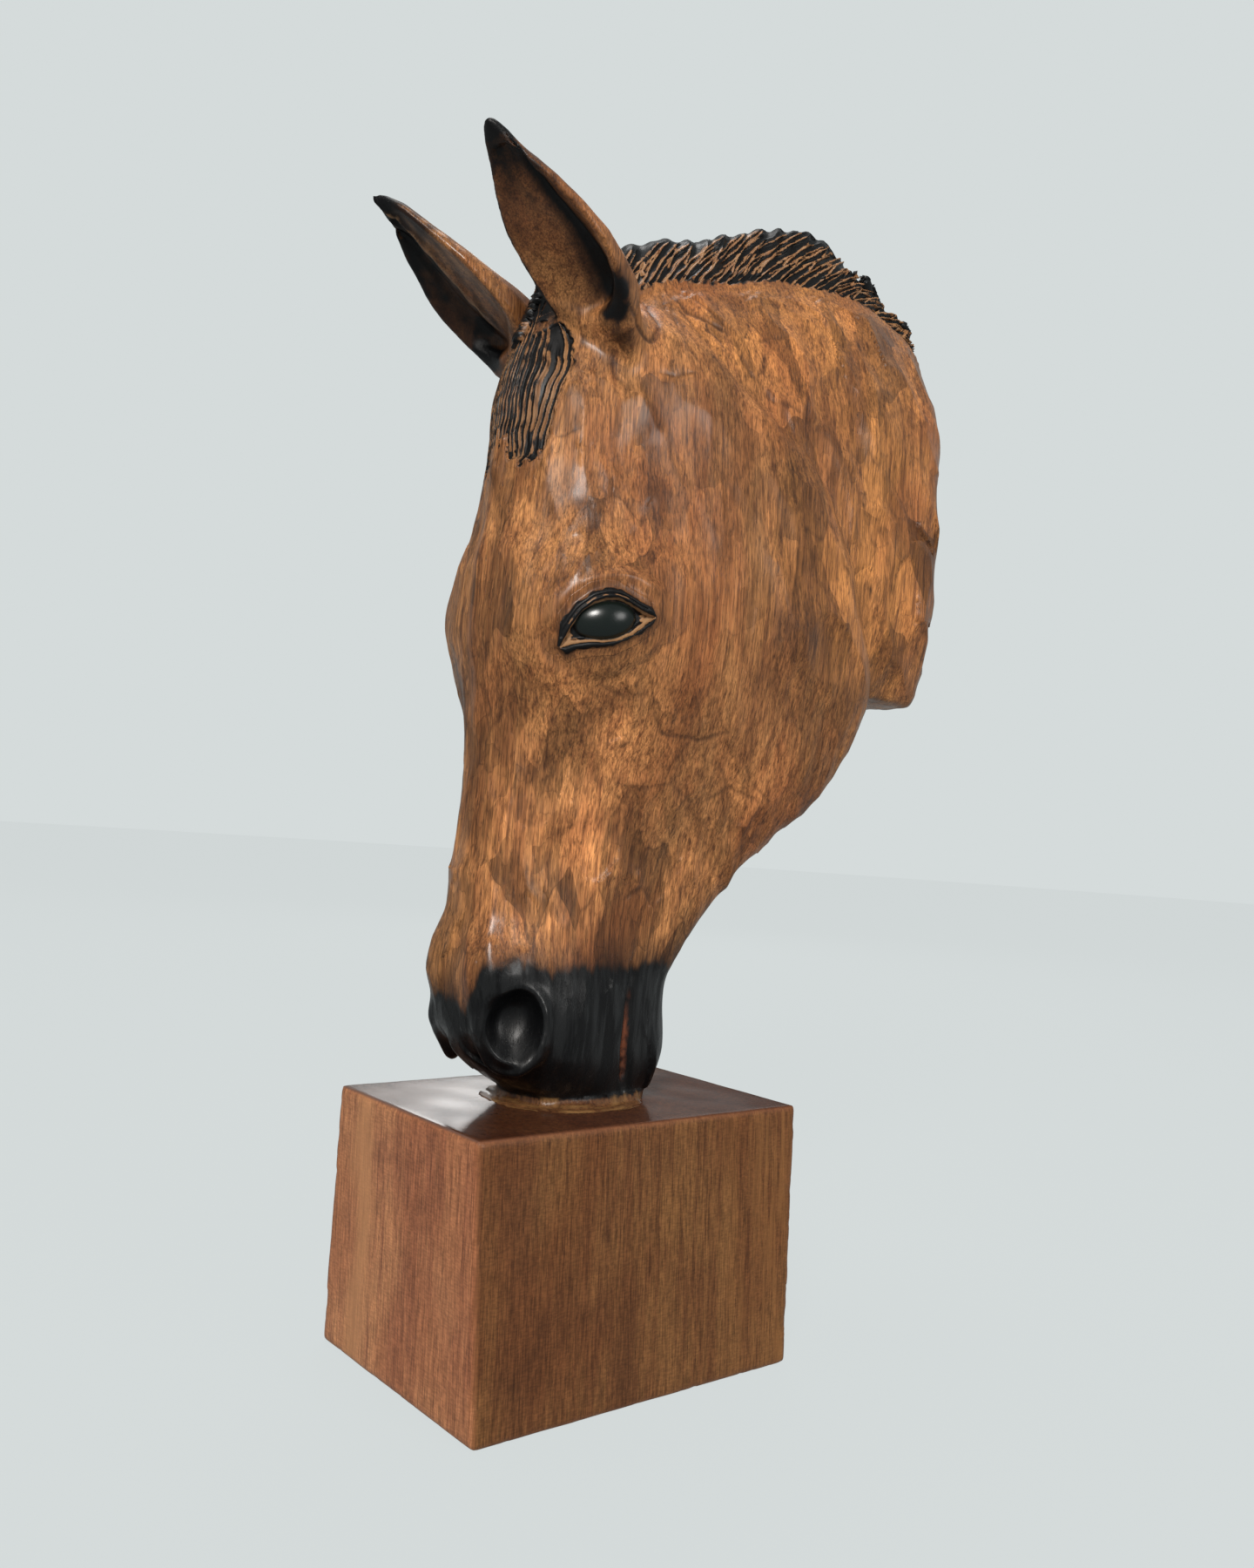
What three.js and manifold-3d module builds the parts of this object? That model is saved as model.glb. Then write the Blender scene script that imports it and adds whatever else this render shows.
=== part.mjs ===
// A horse's head carved in one piece with the block that it stands on, nose down, from a thick plank.
// Millimetres, +Z up. The origin is the centre of the block's underside. The face looks towards -Y,
// the horse's left side is +X, and the neck is sawn off flat behind, towards +Y.
import * as THREE from 'three';
import { mergeVertices } from 'three/addons/utils/BufferGeometryUtils.js';
import Module from 'manifold-3d';

const wasm = await Module();
wasm.setup();

// Driving dimensions
const blockHeight = 99;
const blockTopWidth = 98;
const blockTopDepth = 150;
const blockFootWidth = 108;
const blockFootDepth = 144.5;
const ledgeHeight = 3; // the raised seat that the gouge left round the lips
const ledgeWidth = 56;
const ledgeDepth = 60;
const headLength = 305; // from the lips to the poll
const neckHalfWidth = 36;
const neckCut = 172; // where the saw took the neck off, along +Y
const neckUnderside = 170; // height of the neck's flat underside over the block
const earLength = 76;
const earHalfWidth = 20;
const earWall = 3.2;
const eyeLength = 37;
const eyeHeight = 21;
const maneLocks = 24;
const forelockLocks = 11;
const maneGroove = 2.6;
const mouthCut = 1.8; // half the width of the cut at the skin
const mouthDepth = 2.2;
const nostrilWidth = 23;
const nostrilHeight = 31;
const nostrilDepth = 8.5;

// The head's tables are drawn for a head 305 long, with heights from the block's top. They are scaled
// to headLength at the end, so a size that stands by itself is first turned into a drawn one.
const grow = headLength / 305;
const drawn = (size) => size / grow;
const placed = (geometry) => geometry.scale(grow, grow, grow).translate(0, 0, blockHeight);

// A smooth function through [at, value, ...] knots that never overshoots them.
function through(knots, column = 1) {
  const at = knots.map((k) => k[0]);
  const value = knots.map((k) => k[column]);
  const last = at.length - 1;
  const slope = (i) => (value[i + 1] - value[i]) / (at[i + 1] - at[i]);
  const tangent = at.map((_, i) => {
    if (i === 0) return slope(0);
    if (i === last) return slope(last - 1);
    const before = slope(i - 1);
    const after = slope(i);
    return before * after <= 0 ? 0 : (2 * before * after) / (before + after);
  });
  return (x) => {
    const c = Math.min(Math.max(x, at[0]), at[last]);
    let i = 0;
    while (i < last - 1 && c > at[i + 1]) i += 1;
    const span = at[i + 1] - at[i];
    const t = (c - at[i]) / span;
    const t2 = t * t;
    const t3 = t2 * t;
    return (2 * t3 - 3 * t2 + 1) * value[i] + (t3 - 2 * t2 + t) * span * tangent[i]
      + (3 * t2 - 2 * t3) * value[i + 1] + (t3 - t2) * span * tangent[i + 1];
  };
}

// Closed skin over rings of equal count, given bottom to top, each running anticlockwise seen from the top.
function skin(rings) {
  const count = rings[0].length;
  const positions = rings.flat().flatMap((p) => [p.x, p.y, p.z]);
  const index = [];
  for (let i = 0; i + 1 < rings.length; i += 1) {
    for (let j = 0; j < count; j += 1) {
      const a = i * count + j;
      const b = i * count + ((j + 1) % count);
      index.push(a, b, b + count, a, b + count, a + count);
    }
  }
  const cap = (ring, start, up) => {
    const centre = ring.reduce((sum, p) => sum.add(p), new THREE.Vector3()).divideScalar(count);
    const hub = positions.length / 3;
    positions.push(centre.x, centre.y, centre.z);
    for (let j = 0; j < count; j += 1) {
      const a = start + j;
      const b = start + ((j + 1) % count);
      if (up) index.push(a, b, hub);
      else index.push(b, a, hub);
    }
  };
  cap(rings[0], 0, false);
  cap(rings[rings.length - 1], (rings.length - 1) * count, true);
  const geometry = new THREE.BufferGeometry();
  geometry.setAttribute('position', new THREE.Float32BufferAttribute(positions, 3));
  geometry.setIndex(index);
  return geometry;
}

function solid(geometry) {
  const bare = geometry.clone();
  bare.deleteAttribute('normal');
  bare.deleteAttribute('uv');
  const merged = mergeVertices(bare, 1e-4);
  return new wasm.Manifold(new wasm.Mesh({
    numProp: 3,
    vertProperties: Float32Array.from(merged.attributes.position.array),
    triVerts: Uint32Array.from(merged.index.array),
  }));
}

const mirrored = (geometry) => {
  const other = geometry.clone().applyMatrix4(new THREE.Matrix4().makeScale(-1, 1, 1));
  const index = other.index.array;
  for (let i = 0; i < index.length; i += 3) [index[i], index[i + 1]] = [index[i + 1], index[i]];
  return other;
};

const steps = (from, to, count) => Array.from({ length: count + 1 }, (_, i) => from + ((to - from) * i) / count);

// Rails that run up the head, each [height, x, y]: the horizontal sections are drawn through them.
const frontRail = [
  [1, 0, -20], [5, 0, -31], [11, 0, -44], [19, 0, -54], [27, 0, -58], [36, 0, -60], [51, 0, -61],
  [60, 0, -60.5], [70, 0, -59], [100, 0, -57.5], [130, 0, -56], [155, 0, -58], [178, 0, -61],
  [195, 0, -61], [220, 0, -57.5], [245, 0, -54.5], [262, 0, -53], [278, 0, -49], [293, 0, -42], [307, 0, -32],
];
const browRail = [
  [1, 14, -17], [5, 16, -26], [11, 15, -37], [19, 17, -47.5], [27, 19.5, -53.5], [36, 21, -54], [50, 22.5, -58],
  [60, 18.5, -57], [70, 16.5, -54], [85, 15.5, -52.5], [100, 16, -52], [115, 17, -50], [130, 19, -48.5],
  [146, 24, -47.5], [160, 31, -48], [170, 36, -49.5], [177, 39, -49.8], [186, 42, -46.5], [195, 40, -44.5],
  [212, 34, -41], [235, 29, -40], [262, 25, -42], [278, 22, -39], [293, 20, -32], [307, 14, -23],
];
const templeRail = [
  [1, 20, -6], [11, 24, -18], [22, 27.5, -27], [33, 28.5, -30], [51, 27, -32], [67, 25, -29], [85, 24.5, -26],
  [100, 25.5, -24], [115, 28, -22], [130, 32, -20], [146, 38, -20], [162, 43.5, -24], [176, 46.5, -28],
  [186, 47.5, -27], [196, 46.5, -24], [212, 43, -17], [228, 41, -12], [245, 39, -10], [262, 38, -8],
  [278, 36.5, -7], [293, 33, -5], [307, 22, -1],
];
const cheekRail = [
  [1, 20.5, 8], [20, 23, 4], [50, 24, 6], [67, 24, 8], [83, 25, 14], [100, 28.5, 22], [115, 33, 29], [130, 38, 34],
  [146, 42, 38], [162, 45, 40], [178, 47, 40], [200, 48, 39], [220, 47, 36], [240, 45, 31], [260, 42, 25],
  [278, 39.5, 18], [293, 34, 12], [307, 24, 8],
];
const jawRail = [
  [1, 14, 22], [10, 15.5, 28], [20, 16, 31], [38, 15.5, 30], [46, 15, 31], [55, 16, 35], [70, 19, 44], [88, 23, 57],
  [106, 27, 75], [116, 29.5, 88], [126, 31.5, 98.5], [146, 34, 111], [160, 36, 117], [172, 39, 116], [190, 41, 110],
  [220, 41, 99], [250, 39, 82], [266, 37, 62], [281, 35, 34], [295, 29, 19], [307, 21, 9],
];
const throatRail = [
  [1, 0, 26], [10, 0, 34], [20, 0, 37], [38, 0, 35], [46, 0, 35], [55, 0, 37], [70, 0, 43], [88, 0, 55],
  [106, 0, 71], [126, 0, 93], [146, 0, 107], [160, 0, 114], [190, 0, 114], [220, 0, 103], [250, 0, 86],
  [266, 0, 66], [281, 0, 38], [295, 0, 23], [307, 0, 12],
];
const rails = [frontRail, browRail, templeRail, cheekRail, jawRail, throatRail];
const railAt = rails.map((r) => ({ x: through(r, 1), y: through(r, 2) }));
const samples = [2, 3, 5, 5, 3]; // points between one rail and the next

function headSection(height) {
  const left = railAt.map((r) => new THREE.Vector3(r.x(height), r.y(height), height));
  const right = left.slice(1, -1).reverse().map((p) => new THREE.Vector3(-p.x, p.y, p.z));
  const curve = new THREE.CatmullRomCurve3([...left, ...right], true, 'centripetal');
  const spans = [...samples, ...samples.slice().reverse()];
  const knots = left.length + right.length;
  return spans.flatMap((n, i) => steps(0, 1, n).slice(0, n).map((t) => curve.getPoint((i + t) / knots)));
}

const headLevels = [
  ...steps(1, 19, 3), ...steps(25, 61, 6), ...steps(71, 137, 6), ...steps(146, 200, 7), ...steps(211, 259, 4),
  ...steps(269, 307, 5),
];

const head = () => skin(headLevels.map(headSection));

// The neck: rings across it, one after the other from the poll to the saw cut.
const crestLine = [
  [-40, 304], [-24, 320], [2, 341], [23, 350], [36, 354], [56, 364], [74, 372], [90, 377], [106, 380], [117, 378],
  [126, 372], [132, 365], [138, 363], [147, 364], [156, 362], [167, 356], [176, 351],
];
const hairLine = [
  [-40, 296], [-20, 308], [11, 324], [30, 330], [48, 335], [62, 341], [78, 345], [100, 349], [113, 351], [126, 352],
  [140, 349], [158, 345], [176, 337],
];
const crestAt = through(crestLine);
const hairAt = through(hairLine);
const neckSide = [[0, 0.72], [0.1, 0.88], [0.25, 0.98], [0.45, 1], [0.65, 0.94], [0.8, 0.78], [0.92, 0.54], [1, 0.3]];
const neckSideAt = through(neckSide);
const cutAt = drawn(neckCut);
const neckSpread = through([
  [-40, 0.62], [0, 0.9], [60, 1.02], [140, 1], [152, 0.97], [161, 0.93], [168, 0.79], [173, 0.61],
]);

function neckRing(y) {
  const low = drawn(neckUnderside);
  const high = hairAt(y);
  const half = drawn(neckHalfWidth) * neckSpread((y * 172) / cutAt); // the rear edges are rounded off

  const left = steps(0, 1, 9).map((t) => new THREE.Vector3(half * neckSideAt(t), y, low + (high - low) * t));
  const top = new THREE.Vector3(0, y, high + 4);
  const right = left.slice().reverse().map((p) => new THREE.Vector3(-p.x, p.y, p.z));
  return [...left, top, ...right].reverse();
}

const neck = () => skin([-30, -10, 10, 28, 46, 64, 82, 100, 118, 134, 147, 156, 163, 168, 173]
  .map((y) => neckRing((y * cutAt) / 172)));

// The mane: a ridge along the crest, its rings leaning back with height so that every lock leans too.
const maneHalfWidth = through([[-40, 12], [0, 12.5], [60, 11], [110, 9.5], [140, 8], [175, 6.5]]);
const maneLean = through([[-40, 0.75], [0, 0.8], [60, 1.05], [110, 1.3], [170, 1.5]]);
const uneven = (i) => 0.5 + 0.5 * Math.sin(i * 12.9 + 3 * Math.sin(i * 4.1));

function maneRing(root, lock, groove) {
  const low = hairAt(root) - 1;
  const rise = crestAt(root) - low;
  const lean = maneLean(root) * rise;
  const swell = groove ? -drawn(maneGroove) : 0.9 * uneven(lock);
  const side = [[-0.25, 0.85], [0, 1], [0.3, 0.94], [0.6, 0.72], [0.85, 0.44]].map(([t, w]) => new THREE.Vector3(
    maneHalfWidth(root) * w + swell * (t < 0 ? 0 : 1), root + lean * t, low + rise * t,
  ));
  const crest = root + lean;
  const peak = crestAt(crest) + (groove ? -0.55 * drawn(maneGroove) : 1.4 * uneven(lock + 5));
  side[4].z = low + (peak - low) * 0.86;
  const other = side.slice().reverse().map((p) => new THREE.Vector3(-p.x, p.y, p.z));
  return [...side, new THREE.Vector3(0, crest, peak), ...other];
}

function mane() {
  const start = -37;
  const end = cutAt - 2;
  const pitch = (end - start) / maneLocks;
  const rings = Array.from({ length: maneLocks }, (_, i) => {
    const at = start + pitch * (i + 0.35 * (uneven(i + 9) - 0.5));
    return [maneRing(at, i, true), maneRing(at + pitch * 0.28, i, false), maneRing(at + pitch * 0.72, i, false)];
  }).flat();
  return skin(rings.map((ring) => ring.reverse()));
}

// Where the drawn head's front surface is, at a height and a distance from the middle.
function faceAt(height, x) {
  const section = headSection(height).filter((p) => p.y < 0 && p.x >= 0).sort((p, q) => p.x - q.x);
  return through([...section.map((p) => [p.x, p.y])])(Math.abs(x));
}

// The forelock: strands that hang from the poll down the middle of the forehead.
const forelockHalf = through([
  [232, 1.5], [240, 8], [252, 13], [266, 16], [280, 16.5], [294, 14.5], [306, 11], [314, 7.5],
]);
const forelockProud = through([[232, 0.4], [245, 0.9], [270, 1.4], [296, 3.4], [305, 4.6], [314, 3]]);

function forelockRing(height) {
  const half = forelockHalf(height);
  const spots = steps(-1, 1, forelockLocks * 2);
  const front = spots.map((t, i) => {
    const crown = 1 - 0.55 * t * t;
    const strand = i % 2 ? 1 : -0.7;
    const proud = forelockProud(height) * crown + strand;
    return new THREE.Vector3(t * half, faceAt(Math.min(height, 300), t * half) - proud, height);
  });
  return [...front, new THREE.Vector3(half * 0.7, 0, height), new THREE.Vector3(-half * 0.7, 0, height)];
}

const forelock = () => skin(steps(233, 313, 8).map(forelockRing));

// The ears: thick-backed leaves on leaning axes, hollowed in front, the hollow deepest at the outer rim.
// The two were carved by eye, so the right one spreads a little further.
const earTurn = THREE.MathUtils.degToRad(12);
const leftEar = earFrame(1, new THREE.Vector3(26, -35, 290), new THREE.Vector3(36.8, -91.5, 339.5));
const rightEar = earFrame(-1, new THREE.Vector3(-28, -35, 290), new THREE.Vector3(-40.5, -91, 339));

function earFrame(side, foot, tip) {
  const axis = tip.clone().sub(foot).normalize();
  const face = new THREE.Vector3(side * Math.sin(earTurn), -Math.cos(earTurn), 0).projectOnPlane(axis).normalize();
  return { side, foot, axis, face, across: new THREE.Vector3().crossVectors(face, axis), reach: drawn(earLength) };
}

const earWide = through([[-0.35, 0.5], [-0.12, 0.7], [0.08, 0.87], [0.3, 1], [0.42, 1], [0.55, 0.88], [0.68, 0.69],
  [0.8, 0.5], [0.9, 0.34], [0.97, 0.2], [1, 0.07]]);
const earThick = through([
  [-0.35, 14], [-0.12, 22], [0.08, 21], [0.2, 17.5], [0.4, 12], [0.6, 8], [0.8, 5.5], [0.93, 3.6], [1, 1.2],
]);
// How far each section stands away from the other ear
const earShift = through([[-0.35, -4], [-0.12, 0], [0.08, 2.8], [0.3, 2.8], [0.6, 0.6], [1, 0]]);

// "across" runs from the ear's outer rim (-1) to its inner rim (1), whichever side it is on.
function earPoint(ear, t, across, out) {
  const root = Math.max(0, 0.1 - t);
  return ear.foot.clone().addScaledVector(ear.axis, t * ear.reach)
    .addScaledVector(ear.across, ear.side * (across - earShift(t))).addScaledVector(ear.face, out)
    .add(new THREE.Vector3(-8 * ear.side, 14, -26).multiplyScalar(root));
}

function earRing(ear, t) {
  const half = drawn(earHalfWidth) * earWide(t);
  return steps(0, 2 * Math.PI, 16).slice(0, 16).map((angle) => {
    const s = ear.side * Math.sin(angle);
    const out = s > 0 ? 1.6 * s : -earThick(t) * Math.abs(s) ** 0.85;
    return earPoint(ear, t, half * Math.cos(angle), out);
  });
}

function earHollowRing(ear, t) {
  const half = Math.max(drawn(earHalfWidth) * earWide(t) - drawn(earWall), 0.6) * Math.min(1, 0.35 + (t - 0.05) * 7);
  const floor = steps(1, -1, 8).map((u) => {
    const dish = Math.sqrt(1 - u * u) * (0.55 - 0.45 * u);
    return earPoint(ear, t, half * u, -earThick(t) * 0.5 * dish);
  });
  const ring = [...floor, earPoint(ear, t, -half * 1.1, 7), earPoint(ear, t, half * 1.1, 7)];
  return ear.side > 0 ? ring.reverse() : ring;
}

const earLevels = [-0.35, -0.12, 0.08, 0.22, 0.36, 0.5, 0.64, 0.78, 0.9, 0.97, 1];
const hollowLevels = [0.05, 0.09, 0.16, 0.28, 0.42, 0.58, 0.74, 0.88];
const earBody = (ear) => skin(earLevels.map((t) => earRing(ear, t)));
const earHollow = (ear) => skin(hollowLevels.map((t) => earHollowRing(ear, t)));

// An eye: lids that stand proud as an almond, and a ball inside them.
const eyeCentre = new THREE.Vector3(44.2, -31.6, 177.8);
const eyeOut = new THREE.Vector3(0.95, -0.28, -0.13).normalize();
const eyeAlong = new THREE.Vector3(0.3, 0.86, 0.41).projectOnPlane(eyeOut).normalize();
const eyeUp = new THREE.Vector3().crossVectors(eyeOut, eyeAlong);

const eyePoint = (along, up, out) => eyeCentre.clone().addScaledVector(eyeAlong, along)
  .addScaledVector(eyeUp, up).addScaledVector(eyeOut, out);

function almond(scale, out) {
  return steps(0, 2 * Math.PI, 20).slice(0, 20).map((angle) => {
    const s = Math.sin(angle);
    const c = Math.cos(angle);
    const up = Math.sign(s) * Math.abs(s) ** 1.35 * (s > 0 ? 0.56 : 0.44) * drawn(eyeHeight);
    return eyePoint((drawn(eyeLength) / 2) * c * scale, up * scale + 0.6 * (1 - c * c), out);
  });
}

const lids = () => skin([almond(1.16, -9), almond(1.12, -1.5), almond(1.02, 1.6), almond(0.88, 2.4)]);
const lidOpening = () => skin([almond(0.7, -2.6), almond(0.78, 0.5), almond(0.86, 5)]);

function ball(centre, axes, radii, around, along) {
  const turn = new THREE.Matrix4().makeBasis(...axes);
  return new THREE.SphereGeometry(1, around, along).scale(...radii).applyMatrix4(turn)
    .translate(centre.x, centre.y, centre.z);
}

const eyeball = () => ball(eyePoint(-0.5, 0.2, -5.6), [eyeAlong, eyeUp, eyeOut],
  [drawn(eyeLength) * 0.34, drawn(eyeHeight) * 0.42, 8.2], 14, 8);

// A nostril: a raised wing with an upright oval scooped out of it.
const nostrilCentre = new THREE.Vector3(25, -46.5, 33);
const nostrilOut = new THREE.Vector3(0.88, -0.47, 0.05).normalize();
const nostrilUp = new THREE.Vector3(0.05, 0.12, 1).projectOnPlane(nostrilOut).normalize();
const nostrilAcross = new THREE.Vector3().crossVectors(nostrilUp, nostrilOut);
const nostrilAxes = [nostrilAcross, nostrilUp, nostrilOut];
const wing = () => ball(nostrilCentre.clone().addScaledVector(nostrilOut, -3.8), nostrilAxes,
  [drawn(nostrilWidth) / 2 + 4, drawn(nostrilHeight) / 2 + 5, 5.2], 18, 10);
const hollowCentre = nostrilCentre.clone().addScaledVector(nostrilOut, 1.6).addScaledVector(nostrilUp, -1.5);
const nostrilHollow = () => ball(hollowCentre, nostrilAxes,
  [drawn(nostrilWidth) / 2, drawn(nostrilHeight) / 2, drawn(nostrilDepth)], 16, 10);

// The mouth: a narrow V cut up the side of the muzzle.
const mouthLine = [[23.6, 9.4, 61], [24, 6.6, 54.5], [23.9, 6, 40], [22.6, 5.6, 23], [21.5, 8, 8], [20.8, 9, -3]];

function mouthRing([x, y, height], i) {
  const open = drawn(mouthCut) * (i === 0 ? 0.3 : 1);
  return [[1.6, -open], [1.6, open], [-drawn(mouthDepth), 0]].map(([out, along]) => new THREE.Vector3(
    x + 0.97 * out, y + 0.2 * out + along, height,
  ));
}

const mouth = () => skin(mouthLine.map(mouthRing).reverse());

// The block, wider across its foot than across its top.
function block() {
  const shape = new THREE.BoxGeometry(1, 1, blockHeight).translate(0, 0, blockHeight / 2);
  const at = shape.attributes.position;
  for (let i = 0; i < at.count; i += 1) {
    const top = at.getZ(i) > blockHeight / 2;
    at.setX(i, at.getX(i) * (top ? blockTopWidth : blockFootWidth));
    at.setY(i, at.getY(i) * (top ? blockTopDepth : blockFootDepth));
  }
  return shape;
}

// The low seat that the gouge left round the lips on the block's top.
function ledgeRing(height, spread) {
  return steps(0, 2 * Math.PI, 28).slice(0, 28).map((angle) => {
    const c = Math.cos(angle);
    const s = Math.sin(angle);
    const bite = 1 + 0.03 * Math.sin(angle * 9);
    return new THREE.Vector3(
      Math.sign(c) * Math.abs(c) ** 0.75 * (ledgeWidth / 2 + spread) * bite,
      -5 + Math.sign(s) * Math.abs(s) ** 0.75 * (ledgeDepth / 2 + spread) * bite,
      blockHeight + height,
    );
  });
}

const ledge = () => skin([
  ledgeRing(-2, 2.5), ledgeRing(0, 2.5), ledgeRing(ledgeHeight * 0.45, 0.6), ledgeRing(ledgeHeight, -2.5),
]);

// Splinters lost from the neck's rear edges, from its corner: each [x, y, height, depth, tall, turn].
const chips = [[-3, -10.4, 3, 7, 14, -0.68], [-3, -10.4, 26, 3.4, 26, -0.7], [4, -10, 6, 5, 20, 0.68]];
const chip = ([inwards, back, height, deep, tall, turn]) => new THREE.BoxGeometry(26, deep, tall)
  .rotateZ(turn).rotateX(0.06)
  .translate(-Math.sign(turn) * neckHalfWidth + inwards, neckCut + back, blockHeight + neckUnderside + height);

const sawCut = () => new THREE.BoxGeometry(200, 60, 400).translate(0, neckCut + 30, blockHeight + 250);

function build() {
  const pairs = (shape) => [shape, mirrored(shape)].map((g) => solid(placed(g)));
  const join = (all) => all.reduce((sum, p) => sum.add(p));
  const ears = join([leftEar, rightEar].map((e) => solid(placed(earBody(e))).subtract(solid(placed(earHollow(e))))));
  const body = join([...[head(), neck(), mane(), forelock()].map((g) => solid(placed(g))), ...pairs(wing())]);
  const cut = body.add(join(pairs(lids()))).subtract(join([...pairs(lidOpening()), ...pairs(nostrilHollow())]));
  const carved = cut.add(join(pairs(eyeball()))).add(ears).subtract(join(pairs(mouth())));
  const trimmed = carved.subtract(join([sawCut(), ...chips.map(chip)].map(solid)));
  return trimmed.add(solid(ledge())).add(solid(block()));
}

const wood = new THREE.MeshStandardMaterial({ color: 0xa9683a, roughness: 0.45, metalness: 0 });
const whole = build().getMesh();
const geometry = new THREE.BufferGeometry();
geometry.setAttribute('position', new THREE.Float32BufferAttribute(whole.vertProperties, 3));
geometry.setIndex(Array.from(whole.triVerts));
geometry.computeVertexNormals();

const sculpture = new THREE.Group();
const mesh = new THREE.Mesh(geometry, wood);
mesh.name = 'horse_head_carving';
sculpture.add(mesh);

export default sculpture;
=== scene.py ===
import math
import random

import bpy
import numpy as np
from mathutils import Matrix, Vector, kdtree
from mathutils.bvhtree import BVHTree


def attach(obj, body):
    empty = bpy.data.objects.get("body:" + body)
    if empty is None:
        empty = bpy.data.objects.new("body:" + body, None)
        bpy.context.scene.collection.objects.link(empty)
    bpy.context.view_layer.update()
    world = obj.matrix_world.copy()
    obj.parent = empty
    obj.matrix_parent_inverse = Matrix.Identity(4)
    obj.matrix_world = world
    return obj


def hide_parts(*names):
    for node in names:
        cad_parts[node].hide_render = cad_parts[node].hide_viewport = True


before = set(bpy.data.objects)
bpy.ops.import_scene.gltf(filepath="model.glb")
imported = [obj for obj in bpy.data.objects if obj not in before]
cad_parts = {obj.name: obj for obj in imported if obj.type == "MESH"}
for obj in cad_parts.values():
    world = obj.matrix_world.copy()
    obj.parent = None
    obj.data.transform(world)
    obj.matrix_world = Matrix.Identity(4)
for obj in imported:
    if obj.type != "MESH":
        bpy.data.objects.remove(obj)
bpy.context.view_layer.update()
scene = bpy.context.scene
bpy.ops.object.select_all(action="DESELECT")
print("stage: frame loaded")

# Places on the head are in millimetres, measured from the middle of the block's top.
blockTop = 99.0


def through(knots):
    at, value = np.array(knots, float).T
    return lambda x: np.interp(x, at, value)


def step(x, low, high):
    t = np.clip((x - low) / (high - low), 0, 1)
    return t * t * (3 - 2 * t)


def unit(v):
    v = np.array(v, float)
    return v / np.linalg.norm(v)


# Smooth wavering between about -1 and 1, the same on every run
def waver(points, size, seed):
    dice = np.random.default_rng(seed)
    total = np.zeros(len(points))
    for turn in range(6):
        way = unit(dice.normal(size=3)) * 2 * math.pi / size * dice.uniform(0.6, 1.9)
        total += np.sin(points @ way + dice.uniform(0, 6.3))
    return total / 3


def treeOf(points):
    tree = kdtree.KDTree(len(points))
    for i, p in enumerate(points):
        tree.insert(p, i)
    tree.balance()
    return tree


def nearest(tree, points, count=1):
    found = [tree.find_n(p, count) for p in points]
    index = np.array([[f[1] for f in row] for row in found], int).reshape(len(points), count)
    reach = np.array([[f[2] for f in row] for row in found], float).reshape(len(points), count)
    return index, reach


# Camera, floor and light
cameraValues = {"place": (0.409, -0.3136, 0.2033), "azimuth": 51.04, "pitch": 2.07, "roll": 3.79,
                "lens": 30.0, "sensor": 36.0, "pictureWidth": 1440, "pictureHeight": 1800}


def cameraTurn(v):
    a, p, r = (math.radians(v[k]) for k in ("azimuth", "pitch", "roll"))
    ahead = Vector((-math.sin(a) * math.cos(p), math.cos(a) * math.cos(p), math.sin(p)))
    right = ahead.cross(Vector((0, 0, 1))).normalized()
    up = right.cross(ahead)
    tiltRight = right * math.cos(r) + up * math.sin(r)
    tiltUp = up * math.cos(r) - right * math.sin(r)
    return Matrix((tiltRight, tiltUp, -ahead)).transposed()


def makeCamera(v):
    data = bpy.data.cameras.new("camera")
    data.sensor_width, data.lens = v["sensor"], v["lens"]
    data.clip_start, data.clip_end = 0.01, 60
    camera = bpy.data.objects.new("camera", data)
    camera.matrix_world = Matrix.Translation(v["place"]) @ cameraTurn(v).to_4x4()
    scene.collection.objects.link(camera)
    scene.camera = camera


studioValues = {
    "pale": (0.665, 0.708, 0.708), "dim": 0.5, "floorRadius": 9.0, "floorPaint": (0.03, 0.0315, 0.0315),
    "floorGlow": 0.94,
}
# Name, place, size, watts and colour; each aims at the middle of the head
lampValues = [
    ("window", (1.35, -1.5, 1.35), 0.6, 52, (1.0, 0.96, 0.91)),
    ("sideFill", (2.1, 0.5, 0.9), 0.9, 17, (1.0, 0.98, 0.95)),
    ("ceiling", (-0.3, 0.1, 2.2), 0.9, 16, (1.0, 0.99, 0.97)),
    ("backFill", (-1.6, 1.3, 1.1), 1.2, 12, (1.0, 0.98, 0.96)),
]


# Paper and room look fully pale to the camera but light the head more softly
def seenGlow(tree, v, socket):
    light = tree.nodes.new("ShaderNodeLightPath")
    mix = tree.nodes.new("ShaderNodeMix")
    mix.data_type = "RGBA"
    mix.inputs[6].default_value = (*(v["dim"] * part for part in v["pale"]), 1)
    mix.inputs[7].default_value = (*v["pale"], 1)
    tree.links.new(light.outputs["Is Camera Ray"], mix.inputs[0])
    tree.links.new(mix.outputs[2], socket)


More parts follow.
